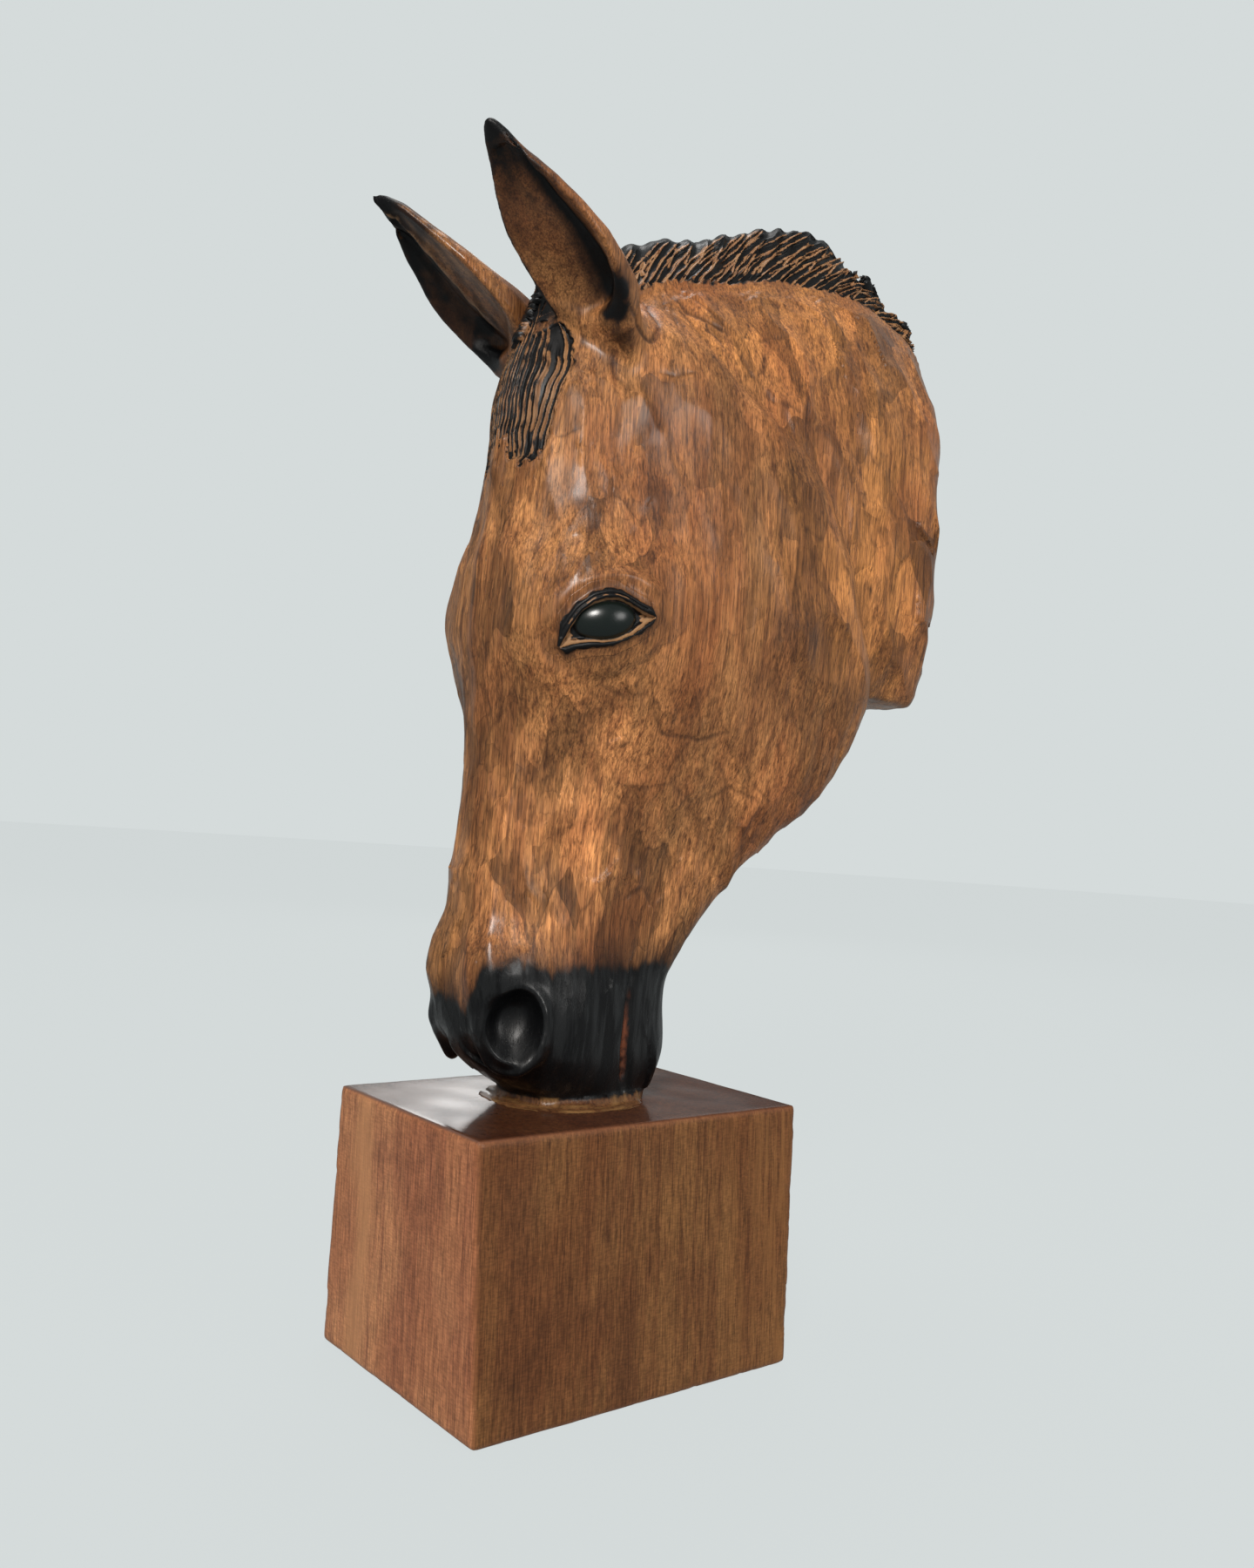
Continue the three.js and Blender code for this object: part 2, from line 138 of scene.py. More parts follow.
def makeStudio(v):
    bpy.ops.mesh.primitive_circle_add(vertices=96, radius=v["floorRadius"], fill_type="TRIFAN")
    floor = bpy.context.object
    floor.name = "floor"
    paper = bpy.data.materials.new("palePaper")
    paper.use_nodes = True
    shader = paper.node_tree.nodes["Principled BSDF"]
    shader.inputs["Base Color"].default_value = (*v["floorPaint"], 1)
    shader.inputs["Roughness"].default_value = 1.0
    shader.inputs["Specular IOR Level"].default_value = 0.0
    shader.inputs["Emission Strength"].default_value = v["floorGlow"]
    seenGlow(paper.node_tree, v, shader.inputs["Emission Color"])
    floor.data.materials.append(paper)
    world = bpy.data.worlds.new("room")
    world.use_nodes = True
    seenGlow(world.node_tree, v, world.node_tree.nodes["Background"].inputs[0])
    scene.world = world
    scene.view_settings.view_transform = "Standard"


def makeLamps(rows):
    aim = Vector((0, 0.02, 0.27))
    for name, place, size, watts, colour in rows:
        data = bpy.data.lights.new(name, "AREA")
        data.shape, data.size = "DISK", size
        data.energy, data.color = watts, colour
        lamp = bpy.data.objects.new(name, data)
        lamp.location = place
        lamp.rotation_euler = (aim - Vector(place)).to_track_quat("-Z", "Y").to_euler()
        scene.collection.objects.link(lamp)


makeCamera(cameraValues)
makeStudio(studioValues)
makeLamps(lampValues)
print("stage: camera, floor and lights")


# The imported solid, as the camera sees it
def solidTree():
    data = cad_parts["horse_head_carving"].data
    return BVHTree.FromPolygons([v.co for v in data.vertices], [tuple(p.vertices) for p in data.polygons])


solid = solidTree()


# The place on the solid that shows at a pixel of the photograph
def seen(px, py):
    v = cameraValues
    size = v["sensor"] / v["lens"] / v["pictureHeight"]
    way = cameraTurn(v) @ Vector(((px - v["pictureWidth"] / 2) * size,
                                  (v["pictureHeight"] / 2 - py) * size, -1))
    place = solid.ray_cast(Vector(v["place"]), way.normalized())[0]
    return np.array(place) * 1000 - np.array([0, 0, blockTop])


# The carving's own places
crestAt = through([(-40, 304), (-24, 320), (2, 341), (23, 350), (36, 354), (56, 364), (74, 372),
                   (90, 377), (106, 380), (117, 378), (126, 372), (132, 365), (138, 363), (147, 364),
                   (156, 362), (167, 356), (176, 351)])
hairAt = through([(-40, 296), (-20, 308), (11, 324), (30, 330), (48, 335), (62, 341), (78, 345),
                  (100, 349), (113, 351), (126, 352), (140, 349), (158, 345), (176, 337)])
maneLean = through([(-40, 0.75), (0, 0.8), (60, 1.05), (110, 1.3), (170, 1.5)])
forelockHalf = through([(232, 11), (235, 12.7), (239, 18.8), (252, 20.5), (269, 22.3), (275, 22.6),
                        (288, 17), (300, 9.5), (314, 7)])
forelockFoot = through([(0, 246), (2.4, 246), (8, 237), (12.7, 235), (18.8, 239), (20.3, 250),
                        (23.4, 270), (24, 276)])
earWide = through([(-0.35, 0.5), (-0.12, 0.7), (0.08, 0.87), (0.3, 1), (0.42, 1), (0.55, 0.88),
                   (0.68, 0.69), (0.8, 0.5), (0.9, 0.34), (0.97, 0.2), (1, 0.07)])
earShift = through([(-0.35, -4), (-0.12, 0), (0.08, 2.8), (0.3, 2.8), (0.6, 0.6), (1, 0)])
earValues = [
    {"side": 1, "foot": (26, -35, 290), "tip": (36.8, -91.5, 339.5)},
    {"side": -1, "foot": (-28, -35, 290), "tip": (-40.5, -91, 339)},
]
earLength, earHalfWidth, earTurn = 76, 20, 12
nostrilValues = {"centre": (25, -46.5, 33), "out": (0.88, -0.47, 0.05), "up": (0.05, 0.12, 1),
                 "half": (11.5, 15.5)}
mouthLine = [(23.6, 9.4, 61), (24, 6.6, 54.5), (23.9, 6, 40), (22.6, 5.6, 23), (21.5, 8, 8), (20.8, 9, 1)]

# The eye lies in its own plane: along it, up it and out of it. The lids and the opening are curves over
# its length.
eyeValues = {
    "centre": (44.2, -31.6, 177.8), "out": (0.95, -0.28, -0.13), "along": (0.3, 0.86, 0.41),
    "area": (26, 19), "opening": (-19.3, 16.6), "lids": (-20.7, 17.4), "ball": (-1.3, 1.0),
    "ballHalf": (11.3, 7.0), "ballTilt": -10,
}
eyeOpenTop = through([(-19.3, -3), (-13.6, 3.1), (-8.8, 6.7), (-4.1, 8.3), (0.5, 8.5), (5, 7.3),
                      (8.4, 4.4), (11.8, 0.5), (16.6, -3.5)])
eyeOpenFoot = through([(-19.3, -3), (-15.1, -2.9), (-10.5, -3.6), (-5, -5.4), (1, -6.3), (6, -6),
                       (12.1, -4.3), (16.6, -3.5)])
lidTop = through([(-20.7, -2.3), (-17, 5.1), (-10.4, 10), (-2.8, 12.5), (2.9, 12), (7.4, 9.7),
                  (12.1, 4.7), (17, 0), (17.4, -3.6)])
lidFoot = through([(-20.7, -2.3), (-18.3, -6.2), (-14.6, -5.6), (-8.7, -6.6), (-2.4, -8.2), (8.5, -7.1),
                   (14.2, -5.6), (17.4, -3.7)])


def earAxes(ear):
    foot, tip = np.array(ear["foot"], float), np.array(ear["tip"], float)
    axis = unit(tip - foot)
    turn = math.radians(earTurn)
    face = np.array([ear["side"] * math.sin(turn), -math.cos(turn), 0])
    face = unit(face - axis * (face @ axis))
    return foot, axis, np.cross(face, axis) * ear["side"], face


# Where points lie in an ear: along it, across it (outer rim -1, inner rim 1) and in front of it
def inEar(points, ear):
    foot, axis, across, face = earAxes(ear)
    d = points - foot
    along = d @ axis / earLength
    wide = (d @ across + earShift(along)) / (earHalfWidth * earWide(along))
    return along, wide, d @ face


def eyeAxes():
    out = unit(eyeValues["out"])
    along = np.array(eyeValues["along"], float)
    along = unit(along - out * (along @ out))
    return along, np.cross(out, along), out


def inEye(points):
    along, up, out = eyeAxes()
    d = points - np.array(eyeValues["centre"])
    return d @ along, d @ up, d @ out


def insideOf(a, u, top, foot, ends):
    beyond = np.maximum(ends[0] - a, a - ends[1])
    inside = np.minimum(top(a) - u, u - foot(a))
    return np.where(beyond > 0, -np.hypot(beyond, np.minimum(inside, 0)), inside)


# The swelling of the brow over the eye
def browAt(a, u):
    return 1.7 * np.exp(-((np.hypot(a / 24, (u - 2) / 17) - 0.88) / 0.16) ** 2) * step(u, 1, 8)


def eyeParts(a, u):
    v = eyeValues
    t = math.radians(v["ballTilt"])
    da, du = a - v["ball"][0], u - v["ball"][1]
    ball = np.hypot((da * math.cos(t) + du * math.sin(t)) / v["ballHalf"][0],
                    (du * math.cos(t) - da * math.sin(t)) / v["ballHalf"][1])
    opening = insideOf(a, u, eyeOpenTop, eyeOpenFoot, v["opening"])
    return ball, opening, insideOf(a, u, lidTop, lidFoot, v["lids"])


def inNostril(points):
    v = nostrilValues
    out = unit(v["out"])
    up = np.array(v["up"], float)
    up = unit(up - out * (up @ out))
    d = points - np.array(v["centre"])
    return d @ np.cross(up, out) / v["half"][0], (d @ up + 1.5) / v["half"][1], d @ out


def folded(points):
    return np.column_stack([np.abs(points[:, 0]), points[:, 1], points[:, 2]])


# The forelock reaches a little further round on the far side of the crown
def forelockSide(x, h):
    return forelockHalf(h) + 4.5 * step(-x, 0, 4) * step(h, 284, 300)


def regionsOf(points):
    x, y, h = points.T
    where = {"ledge": (1 - step(h, 3.4, 4.6)) * step(h, -3, -2)}
    where["ear"] = np.zeros(len(points))
    where["earBase"] = np.zeros(len(points))
    for ear in earValues:
        along, wide, front = inEar(points, ear)
        on = (x * ear["side"] > 4) & (np.abs(wide) < 1.5) & (front > -34) & (front < 8) & (y < -18)
        where["ear"] = np.maximum(where["ear"], np.where(on, step(along, 0.0, 0.1), 0))
        foot = np.array(ear["foot"]) + np.array([0, 6, -6])
        away = np.linalg.norm(points - foot, axis=1)
        where["earBase"] = np.maximum(where["earBase"], 1 - step(away, 15, 27))
    ragged = 1.3 * waver(points, 6, 61)
    clear = (0.5 - where["ear"]) * 8
    maneIn = np.minimum.reduce([h - hairAt(y) + ragged, (y + 37) * 0.4, 15.5 - np.abs(x), clear])
    drop = h - forelockFoot(np.abs(x)) + 5 * np.abs(((x + 40) / 2.3) % 2 - 1) - 2.5 + 1.5 * ragged
    lockIn = np.minimum.reduce([
        drop, forelockSide(x, h) + 0.4 + 0.5 * ragged - np.abs(x), 315 - h, -26 - y, clear, 0.5 - maneIn])
    a, u, out = inEye(folded(points))
    half = eyeValues["area"]
    where["eyeArea"] = (1 - step(np.hypot(a / half[0], u / half[1]), 0.9, 1.08)) * step(out, -17, -13)
    lid = np.where(out > -14, eyeParts(a, u)[2], -20)
    for name, depth in (("mane", maneIn), ("lock", lockIn), ("eye", lid - 0.3)):
        where[name + "Show"] = step(depth, -4.6, -3.4)
        where[name + "Hide"] = step(depth, 0.2, 1.5) if name != "eye" else step(depth, -2.9, -1.6)
    where["mane"] = step(maneIn, -1.5, 0.8)
    where["forelock"] = step(lockIn, -1, 1)
    where["hairNear"] = step(np.maximum(maneIn, lockIn), -10, -4)
    a, u, out = inNostril(folded(points))
    where["nostrilArea"] = (1 - step(np.hypot(a, u), 1.35, 1.6)) * step(out, -14, -11)
    return where


# Mesh helpers
def copyOfSolid(name):
    piece = bpy.data.objects.new(name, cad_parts["horse_head_carving"].data.copy())
    scene.collection.objects.link(piece)
    makeActive(piece)
    bpy.ops.object.mode_set(mode="EDIT")
    bpy.ops.mesh.select_all(action="SELECT")
    bpy.ops.mesh.remove_doubles(threshold=1e-6)
    bpy.ops.object.mode_set(mode="OBJECT")
    return piece


def makeActive(piece):
    bpy.ops.object.select_all(action="DESELECT")
    bpy.context.view_layer.objects.active = piece
    piece.select_set(True)


def applyModifier(piece, kind, **settings):
    makeActive(piece)
    modifier = piece.modifiers.new(kind.title(), kind)
    for name, value in settings.items():
        setattr(modifier, name, value)
    bpy.ops.object.modifier_apply(modifier=modifier.name)


def readMesh(piece):
    data = piece.data
    points = np.empty(len(data.vertices) * 3)
    data.vertices.foreach_get("co", points)
    normals = np.empty(len(data.vertices) * 3)
    data.vertex_normals.foreach_get("vector", normals)
    edges = np.empty(len(data.edges) * 2, np.int32)
    data.edges.foreach_get("vertices", edges)
    points = points.reshape(-1, 3) * 1000 - np.array([0, 0, blockTop])
    return points, normals.reshape(-1, 3), edges.reshape(-1, 2)


def writeMesh(piece, points):
    piece.data.vertices.foreach_set("co", ((points + np.array([0, 0, blockTop])) / 1000).ravel())
    piece.data.update()


# Thins the mesh to a number of triangles, but not where it is told to keep all
def thinTo(piece, faces, kept=None):
    settings = {}
    if kept is not None:
        group = piece.vertex_groups.new(name="thinned")
        group.add([int(i) for i in np.where(~kept)[0]], 1.0, "REPLACE")
        settings = {"vertex_group": "thinned", "vertex_group_factor": 1.0}
    triangles = sum(len(p.vertices) - 2 for p in piece.data.polygons)
    if triangles > faces:
        settings["ratio"] = faces / triangles
        applyModifier(piece, "DECIMATE", use_collapse_triangulate=True, **settings)


def giveMask(piece, name, values):
    layer = piece.data.attributes.new(name, "FLOAT", "POINT")
    layer.data.foreach_set("value", np.clip(values, -4, 4).astype(np.float32))


# Sands the surface: each point moves towards the middle of its neighbours
def sand(points, edges, amount, rounds):
    count = len(points)
    a, b = edges.T
    valence = np.bincount(a, minlength=count) + np.bincount(b, minlength=count)
    for turn in range(rounds):
        sums = np.column_stack([
            np.bincount(a, points[b, k], count) + np.bincount(b, points[a, k], count) for k in range(3)])
        points = points + (sums / valence[:, None] - points) * amount[:, None]
    return points


# The head's form, corrected before the fine cuts
formValues = {"ledgeTop": 2.1, "crestDip": 4.0, "heelTrim": 3.5, "lobeTrim": 4.8, "tipTrim": 0.32,
              "farEarGrow": 0.13, "farEarSwell": 6.5}


def reshape(points, where):
    v = formValues
    x, y, h = points.T
    moved = points.copy()
    rise = np.clip((h - hairAt(y)) / 15, 0, 1) * (1 - where["ear"])
    moved[:, 2] -= v["crestDip"] * rise * step(y, 112, 130) * (1 - step(y, 138, 156))
    heel = np.clip((215 - h) / 45, 0, 1) ** 2 * np.clip((y - 138) / 34, 0, 1)
    moved[:, 1] -= v["heelTrim"] * heel * (h > 160)
    q = np.clip((np.hypot(x / 30.5, (y + 5) / 32.5) + 0.05 * waver(points, 16, 33) - 0.74) / 0.26, 0, 1)
    slope = v["ledgeTop"] * (1 - q) ** 1.3 - 0.3 + 0.28 * np.sin(q * 15 + 1.5 * waver(points, 14, 34))
    moved[:, 2] = np.where((h > -0.8) & (h < 3.6), np.minimum(h, slope), h)
    side = np.where(x > 0, 1, -1)
    a, u, out = inNostril(folded(points))
    ring = np.hypot(a, u)
    lobe = (1 - step(u, -1.0, -0.1)) * (1 - step(a, -0.1, 0.5)) * step(ring, 0.75, 1.0)
    lobe *= (1 - step(ring, 1.5, 2.0)) * step(out, -16, -10)
    way = unit(nostrilValues["out"])
    ways = np.column_stack([side * way[0], side * 0 + way[1], side * 0 + way[2]])
    moved -= (v["lobeTrim"] * lobe)[:, None] * ways
    for ear in earValues:
        along, wide, front = inEar(points, ear)
        across = earAxes(ear)[2]
        reach = np.clip(-wide, 0, 1.2) * earHalfWidth * earWide(along)
        outer = where["ear"] * (x * ear["side"] > 4) * reach
        moved += (outer * v["tipTrim"] * step(along, 0.66, 0.9))[:, None] * across
        if ear["side"] < 0:
            grow = step(along, 0.1, 0.35) * (1 - step(along, 0.7, 0.9))
            moved -= (outer * v["farEarGrow"] * grow)[:, None] * across
            inner = (x < -6) * (np.abs(wide) < 1.6) * (front > -34) * (front < 8) * (y < -18)
            inner = inner * step(wide, -0.3, 0.8)
            swell = v["farEarSwell"] * step(along, -0.35, -0.05) * (1 - 0.65 * step(along, 0.15, 0.75))
            moved += (inner * swell * (1 - step(along, 0.85, 1.0)))[:, None] * across
    return moved


# The eyes are cut afresh on a smooth cheek: lids, a sunk opening and a domed ball
def cutEyes(points, fits):
    way = eyeAxes()[2]
    half = eyeValues["area"]
    moved = points.copy()
    for side in (1, -1):
        flip = np.array([side, 1, 1])
        pick = np.where(points[:, 0] * side > 0)[0]
        a, u, out = inEye(points[pick] * flip)
        ring = np.hypot(a / half[0], u / half[1])
        terms = np.column_stack([np.ones(len(a)), a, u, a * a, a * u, u * u])
        if side not in fits:
            around = (ring > 0.98) & (ring < 1.35) & (out > -17)
            fits[side] = np.linalg.lstsq(terms[around], out[around], rcond=None)[0]
        base = terms @ fits[side]
        ball, opening, lid = eyeParts(a, u)
        dome = -2.2 + 3.3 * np.sqrt(np.clip(1 - ball * ball, 0, 1))
        well = -0.8 - 1.7 * step(opening, 0.2, 2.0)
        share = np.clip(lid / np.maximum(lid - opening, 1e-3), 0, 1)
        crease = 0.75 * np.exp(-((share - 0.52) / 0.1) ** 2) * (u > 0)
        fold = 0.25 + 1.25 * np.sin(math.pi * share) ** 0.8 - crease
        skin = 0.25 * np.exp(np.minimum(lid, 0) / 2.5) + browAt(a, u)
        form = np.where(opening > 0, np.maximum(dome, well), np.where(lid > 0, fold, skin))
        share = (1 - step(ring, 0.86, 1.08)) * step(out, -17, -13)
        moved[pick] += ((base + form - out) * share)[:, None] * way * flip
    return moved


# Gouge cuts
gougeValues = {
    "face": {"cell": 13.0, "stretch": 0.42, "lean": 0.12, "rise": 2.3, "tilt": 0.075, "depth": 0.75,
             "seed": 3},
    "neck": {"cell": 24.0, "stretch": 0.62, "lean": 0.55, "rise": 4.4, "tilt": 0.06, "depth": 1.2,
             "seed": 14},
    "fine": {"cell": 5.6, "stretch": 0.4, "lean": -0.1, "rise": 0.75, "tilt": 0.06, "depth": 0.26,
             "seed": 8},
}
# Single broad flats: middle and lower end in the photograph's pixels, half width and depth in millimetres
flats = [
    ((628, 890), (605, 950), 7.5, 0.7), ((690, 545), (688, 590), 5.0, 0.6),
    ((722, 530), (722, 575), 4.5, 0.5), ((585, 800), (572, 880), 6.5, 0.7),
    ((560, 640), (556, 700), 6.0, 0.6), ((700, 930), (680, 1010), 9.0, 0.8),
    ((600, 1060), (598, 1092), 5.0, 0.6), ((660, 640), (655, 668), 3.6, 0.45),
    ((600, 560), (598, 620), 7.0, 0.6), ((780, 960), (762, 1010), 7.0, 0.6),
    ((840, 900), (850, 945), 4.0, 0.5), ((560, 930), (548, 1000), 7.0, 0.6),
    ((1030, 520), (1030, 600), 13.0, 0.9), ((990, 400), (1012, 450), 11.0, 0.8),
    ((1040, 690), (1036, 740), 8.0, 0.7), ((940, 400), (960, 460), 11.0, 0.8),
]


# Many shallow cuts side by side: the surface left is the lowest of the cuts that reach a place
def gougeField(points, v, pick):
    dice = np.random.default_rng(v["seed"])
    skew = points.copy()
    skew[:, 1] += v["lean"] * points[:, 2]
    skew[:, 2] *= v["stretch"]
    cell = v["cell"]
    skew += np.column_stack([waver(points, 40, v["seed"] + k) for k in range(3)]) * cell * 0.2
    taken, seeds = {}, []
    for i in dice.permutation(len(skew))[:40000]:
        key = tuple(int(k) for k in np.floor(skew[i] / (cell * 0.8)))
        around = ((key[0] + a, key[1] + b, key[2] + c)
                  for a in (-1, 0, 1) for b in (-1, 0, 1) for c in (-1, 0, 1))
        crowd = [taken[near] for near in around if near in taken]
        if all(((skew[i] - s) ** 2).sum() > (0.72 * cell) ** 2 for s in crowd):
            taken[key] = skew[i]
            seeds.append(skew[i])
    seeds = np.array(seeds)
    skew = skew[pick]
    index, reach = nearest(treeOf(seeds), skew, 4)
    tone = dice.uniform(-1, 1, len(seeds))
    deep = dice.uniform(0.2, 1, len(seeds)) * v["depth"]
    tilt = dice.normal(size=(len(seeds), 3)) * v["tilt"]
    heights = np.column_stack([
        v["rise"] * (reach[:, k] / cell) ** 2 - deep[index[:, k]]
        + ((skew - seeds[index[:, k]]) * tilt[index[:, k]]).sum(1) for k in range(4)])
    order = np.argsort(heights, axis=1)
    lowest = np.take_along_axis(heights, order[:, :1], 1)[:, 0]
    winner = np.take_along_axis(index, order[:, :1], 1)[:, 0]
    field = np.zeros((2, len(points)))
    field[:, pick] = lowest + 0.22 * v["rise"], tone[winner]
    return field


def flatField(points):
    field = np.zeros(len(points))
    tone = np.zeros(len(points))
    both = folded(points)
    for k, (middle, end, half, deep) in enumerate(flats):
        at, low = seen(*middle), seen(*end)
        long = np.linalg.norm(low - at)
        way = (low - at) / long
        d = both - at
        near = np.where((np.abs(d) < long * 1.1 + half + 6).all(1))[0]
        run = d[near] @ way
        side = np.linalg.norm(d[near] - run[:, None] * way, axis=1)
        cut = deep * (1 - (side / half) ** 2 - (run / long) ** 4)
        deeper = cut > field[near]
        field[near] = np.where(deeper, cut, field[near])
        tone[near] = np.where(deeper, 1.0 if k % 3 else -0.6, tone[near])
    return field, tone


# V-tool strokes
# The photograph's pixels, then half width and depth in millimetres and how much darker the cut is drawn
strokeValues = [
    ([(760, 327), (788, 358), (842, 388)], 1.5, 1.1, 0.55),
    ([(759, 331), (778, 372), (796, 425)], 1.3, 0.8, 0.35),
    ([(768, 345), (790, 395), (808, 426)], 1.3, 0.8, 0.3),
    ([(778, 350), (803, 386), (820, 420)], 1.2, 0.7, 0.3),
    ([(768, 331), (804, 352), (842, 387)], 1.2, 0.7, 0.35),
    ([(812, 372), (830, 398), (838, 420)], 1.1, 0.6, 0.25),
    ([(842, 388), (851, 412), (868, 442)], 1.6, 0.9, 0.5),
    ([(862, 336), (874, 362), (886, 390)], 1.0, 0.5, 0.3),
    ([(866, 440), (880, 412), (886, 390)], 1.0, 0.5, 0.3),
    ([(842, 388), (870, 392), (915, 388)], 1.0, 0.5, 0.3),
    ([(722, 348), (732, 372), (748, 392), (757, 378)], 1.4, 0.9, 0.7),
    ([(738, 335), (744, 356), (762, 384)], 1.2, 0.7, 0.5),
    ([(755, 425), (775, 432), (800, 428)], 1.0, 0.5, 0.4),
    ([(700, 395), (708, 430), (722, 446)], 1.2, 0.5, 0.45),
    ([(655, 758), (690, 756), (730, 742)], 1.8, 0.6, 0.35),
    ([(668, 668), (676, 650), (696, 632)], 1.8, 0.6, 0.25),
    ([(640, 690), (630, 720), (628, 750)], 2.4, 0.5, 0.15),
    ([(690, 785), (715, 800), (745, 795)], 1.2, 0.45, 0.3),
    ([(668, 800), (680, 830), (684, 870)], 1.4, 0.4, 0.25),
    ([(745, 800), (760, 840), (800, 850), (842, 838)], 1.1, 0.45, 0.45),
    ([(730, 905), (770, 900), (800, 925)], 1.1, 0.4, 0.35),
    ([(800, 925), (838, 905), (872, 918)], 1.0, 0.4, 0.35),
    ([(822, 868), (836, 900), (840, 940)], 0.9, 0.35, 0.35),
    ([(846, 862), (866, 900), (884, 925)], 0.9, 0.35, 0.3),
    ([(752, 955), (770, 985), (768, 1020)], 1.2, 0.45, 0.35),
    ([(712, 1035), (735, 1018), (752, 1040)], 1.1, 0.5, 0.4),
    ([(651, 1146), (659, 1153), (665, 1167)], 0.8, 0.5, 0.0),
    ([(700, 1120), (698, 1165), (690, 1215)], 0.8, 0.35, 0.0),
    ([(672, 1125), (676, 1160), (672, 1200)], 0.8, 0.3, 0.0),
    ([(745, 1140), (742, 1180), (745, 1225)], 1.2, 0.5, 0.0),
    ([(535, 1150), (540, 1180), (548, 1205)], 1.4, 0.5, 0.0),
    ([(905, 470), (950, 500), (985, 560), (1000, 610)], 2.2, 0.6, 0.25),
    ([(860, 425), (885, 462), (930, 478)], 1.6, 0.5, 0.3),
]
knots = [((24, 111.7, 323.4), 1.1, 3.0), ((36.3, 107.6, 253), 0.9, 4.5), ((36.3, 115.7, 214), 1.5, 2.6),
         ((36, 128, 296), 0.8, 2.2), ((35, 68, 292), 0.7, 2.0), ((46, 62, 228), 0.9, 1.8)]


# Each stroke is [points, half width, depth, darkening]; its depth fades at both ends
def strokeField(points, normals, strokes):
    samples, width, depth, cutDarkening = [], [], [], []
    for path, half, deep, dark in strokes:
        path = np.array(path, float)
        legs = np.linalg.norm(np.diff(path, axis=0), axis=1)
        at = np.concatenate([[0], np.cumsum(legs)])
        t = np.linspace(0, at[-1], max(3, int(at[-1] / 0.6)))
        line = np.column_stack([np.interp(t, at, path[:, k]) for k in range(3)])
        line += np.column_stack([waver(line, 14, 90 + k) for k in range(3)]) * 0.35
        ends = np.minimum(1, np.minimum(t + 0.6, at[-1] - t + 0.6) / max(1.5, at[-1] * 0.2))
        samples += list(line)
        width += list(half * (0.55 + 0.45 * ends))
        depth += list(deep * ends)
        cutDarkening += list(dark * ends)
    samples, width, depth, cutDarkening = (np.array(row) for row in (samples, width, depth, cutDarkening))
    field, marks = np.zeros(len(points)), np.zeros(len(points))
    low, high = samples.min(0) - 6, samples.max(0) + 6
    near = np.where(((points > low) & (points < high)).all(1))[0]
    index = nearest(treeOf(samples), points[near])[0][:, 0]
    d = points[near] - samples[index]
    rise = (d * normals[near]).sum(1)
    reach = np.linalg.norm(d - rise[:, None] * normals[near], axis=1) + np.maximum(0, np.abs(rise) - 4)
    share = np.clip(1 - reach / width[index], 0, 1)
    field[near] = depth[index] * share
    marks[near] = cutDarkening[index] * step(share, 0.05, 0.7)
    return field, marks


def surfaceStrokes():
    return [([seen(*p) for p in path], 1.2 * half, 0.65 * deep, min(1, 1.3 * dark))
            for path, half, deep, dark in strokeValues]


# Hair
hairValues = {"maneCut": 1.25, "maneRidge": 1.35, "lockCut": 1.0, "lockRidge": 1.0}


# The mane is cut away between thin ridges that lean back as they climb from the hairline to the crest
def maneRidges(points, where):
    x, y, h = points.T
    low = hairAt(y)
    t = np.clip((h - low) / np.maximum(crestAt(y) - low, 6), -0.3, 1.3)
    s = y - maneLean(y) * (h - low) * 1.3 + 0.5 * waver(points, 9, 71)
    ridge = np.zeros(len(points))
    for side in (1, -1):
        pick = (where["mane"] > 0.005) & (x * side >= 0)
        sp, tp = s[pick], t[pick]
        field = np.zeros(pick.sum())
        for layer, gap, slantWay in ((0, 4.8, 1), (1, 8.0, -12), (2, 9.0, 11)):
            dice = random.Random(31 + 7 * side + layer)
            start = -82.0
            while start < 168:
                slant = slantWay + dice.uniform(-4, 4)
                bow, half = dice.uniform(-4, 4), dice.uniform(0.7, 1.05)
                foot = dice.uniform(-0.25, 0.1) if layer == 0 else dice.uniform(0.05, 0.45)
                top = dice.uniform(0.75, 1.0) if layer == 0 else foot + dice.uniform(0.35, 0.6)
                line = start + slant * tp + bow * tp * tp
                reach = step(tp, foot - 0.05, foot + 0.08) * (1 - step(tp, top - 0.15, top + 0.05))
                field = np.maximum(field, reach * np.clip(1.15 - np.abs(sp - line) / half, 0, 1))
                start += gap * dice.uniform(0.7, 1.35)
        ridge[pick] = field
    return ridge * (where["mane"] > 0.005)


# The forelock's strands fan out from the crown and then fall straight
def forelockRidges(points, where):
    ridge = np.zeros(len(points))
    pick = where["forelock"] > 0.005
    x, y, h = points[pick].T
    dice = random.Random(12)
    half = forelockSide(x, h) + 1
    drop = np.clip((314 - h) / 80, 0, 1.1)
    wander = 0.02 * waver(points[pick] * np.array([0.5, 0.5, 1]), 15, 73)
    field = np.zeros(len(x))
    at = -1.25
    while at < 1.25:
        bow, wide = dice.uniform(-0.04, 0.04), dice.uniform(0.4, 0.62)
        begin, stop = dice.uniform(-0.05, 0.4), dice.uniform(0.85, 1.3)
        line = at + bow * np.sin(drop * 4) + wander
        reach = step(drop, begin, begin + 0.12) * (1 - step(drop, stop - 0.12, stop))
        field = np.maximum(field, reach * np.clip(1.25 - np.abs(x / half - line) * half / wide, 0, 1))
        at += dice.uniform(0.07, 0.105)
    ridge[pick] = field
    return ridge
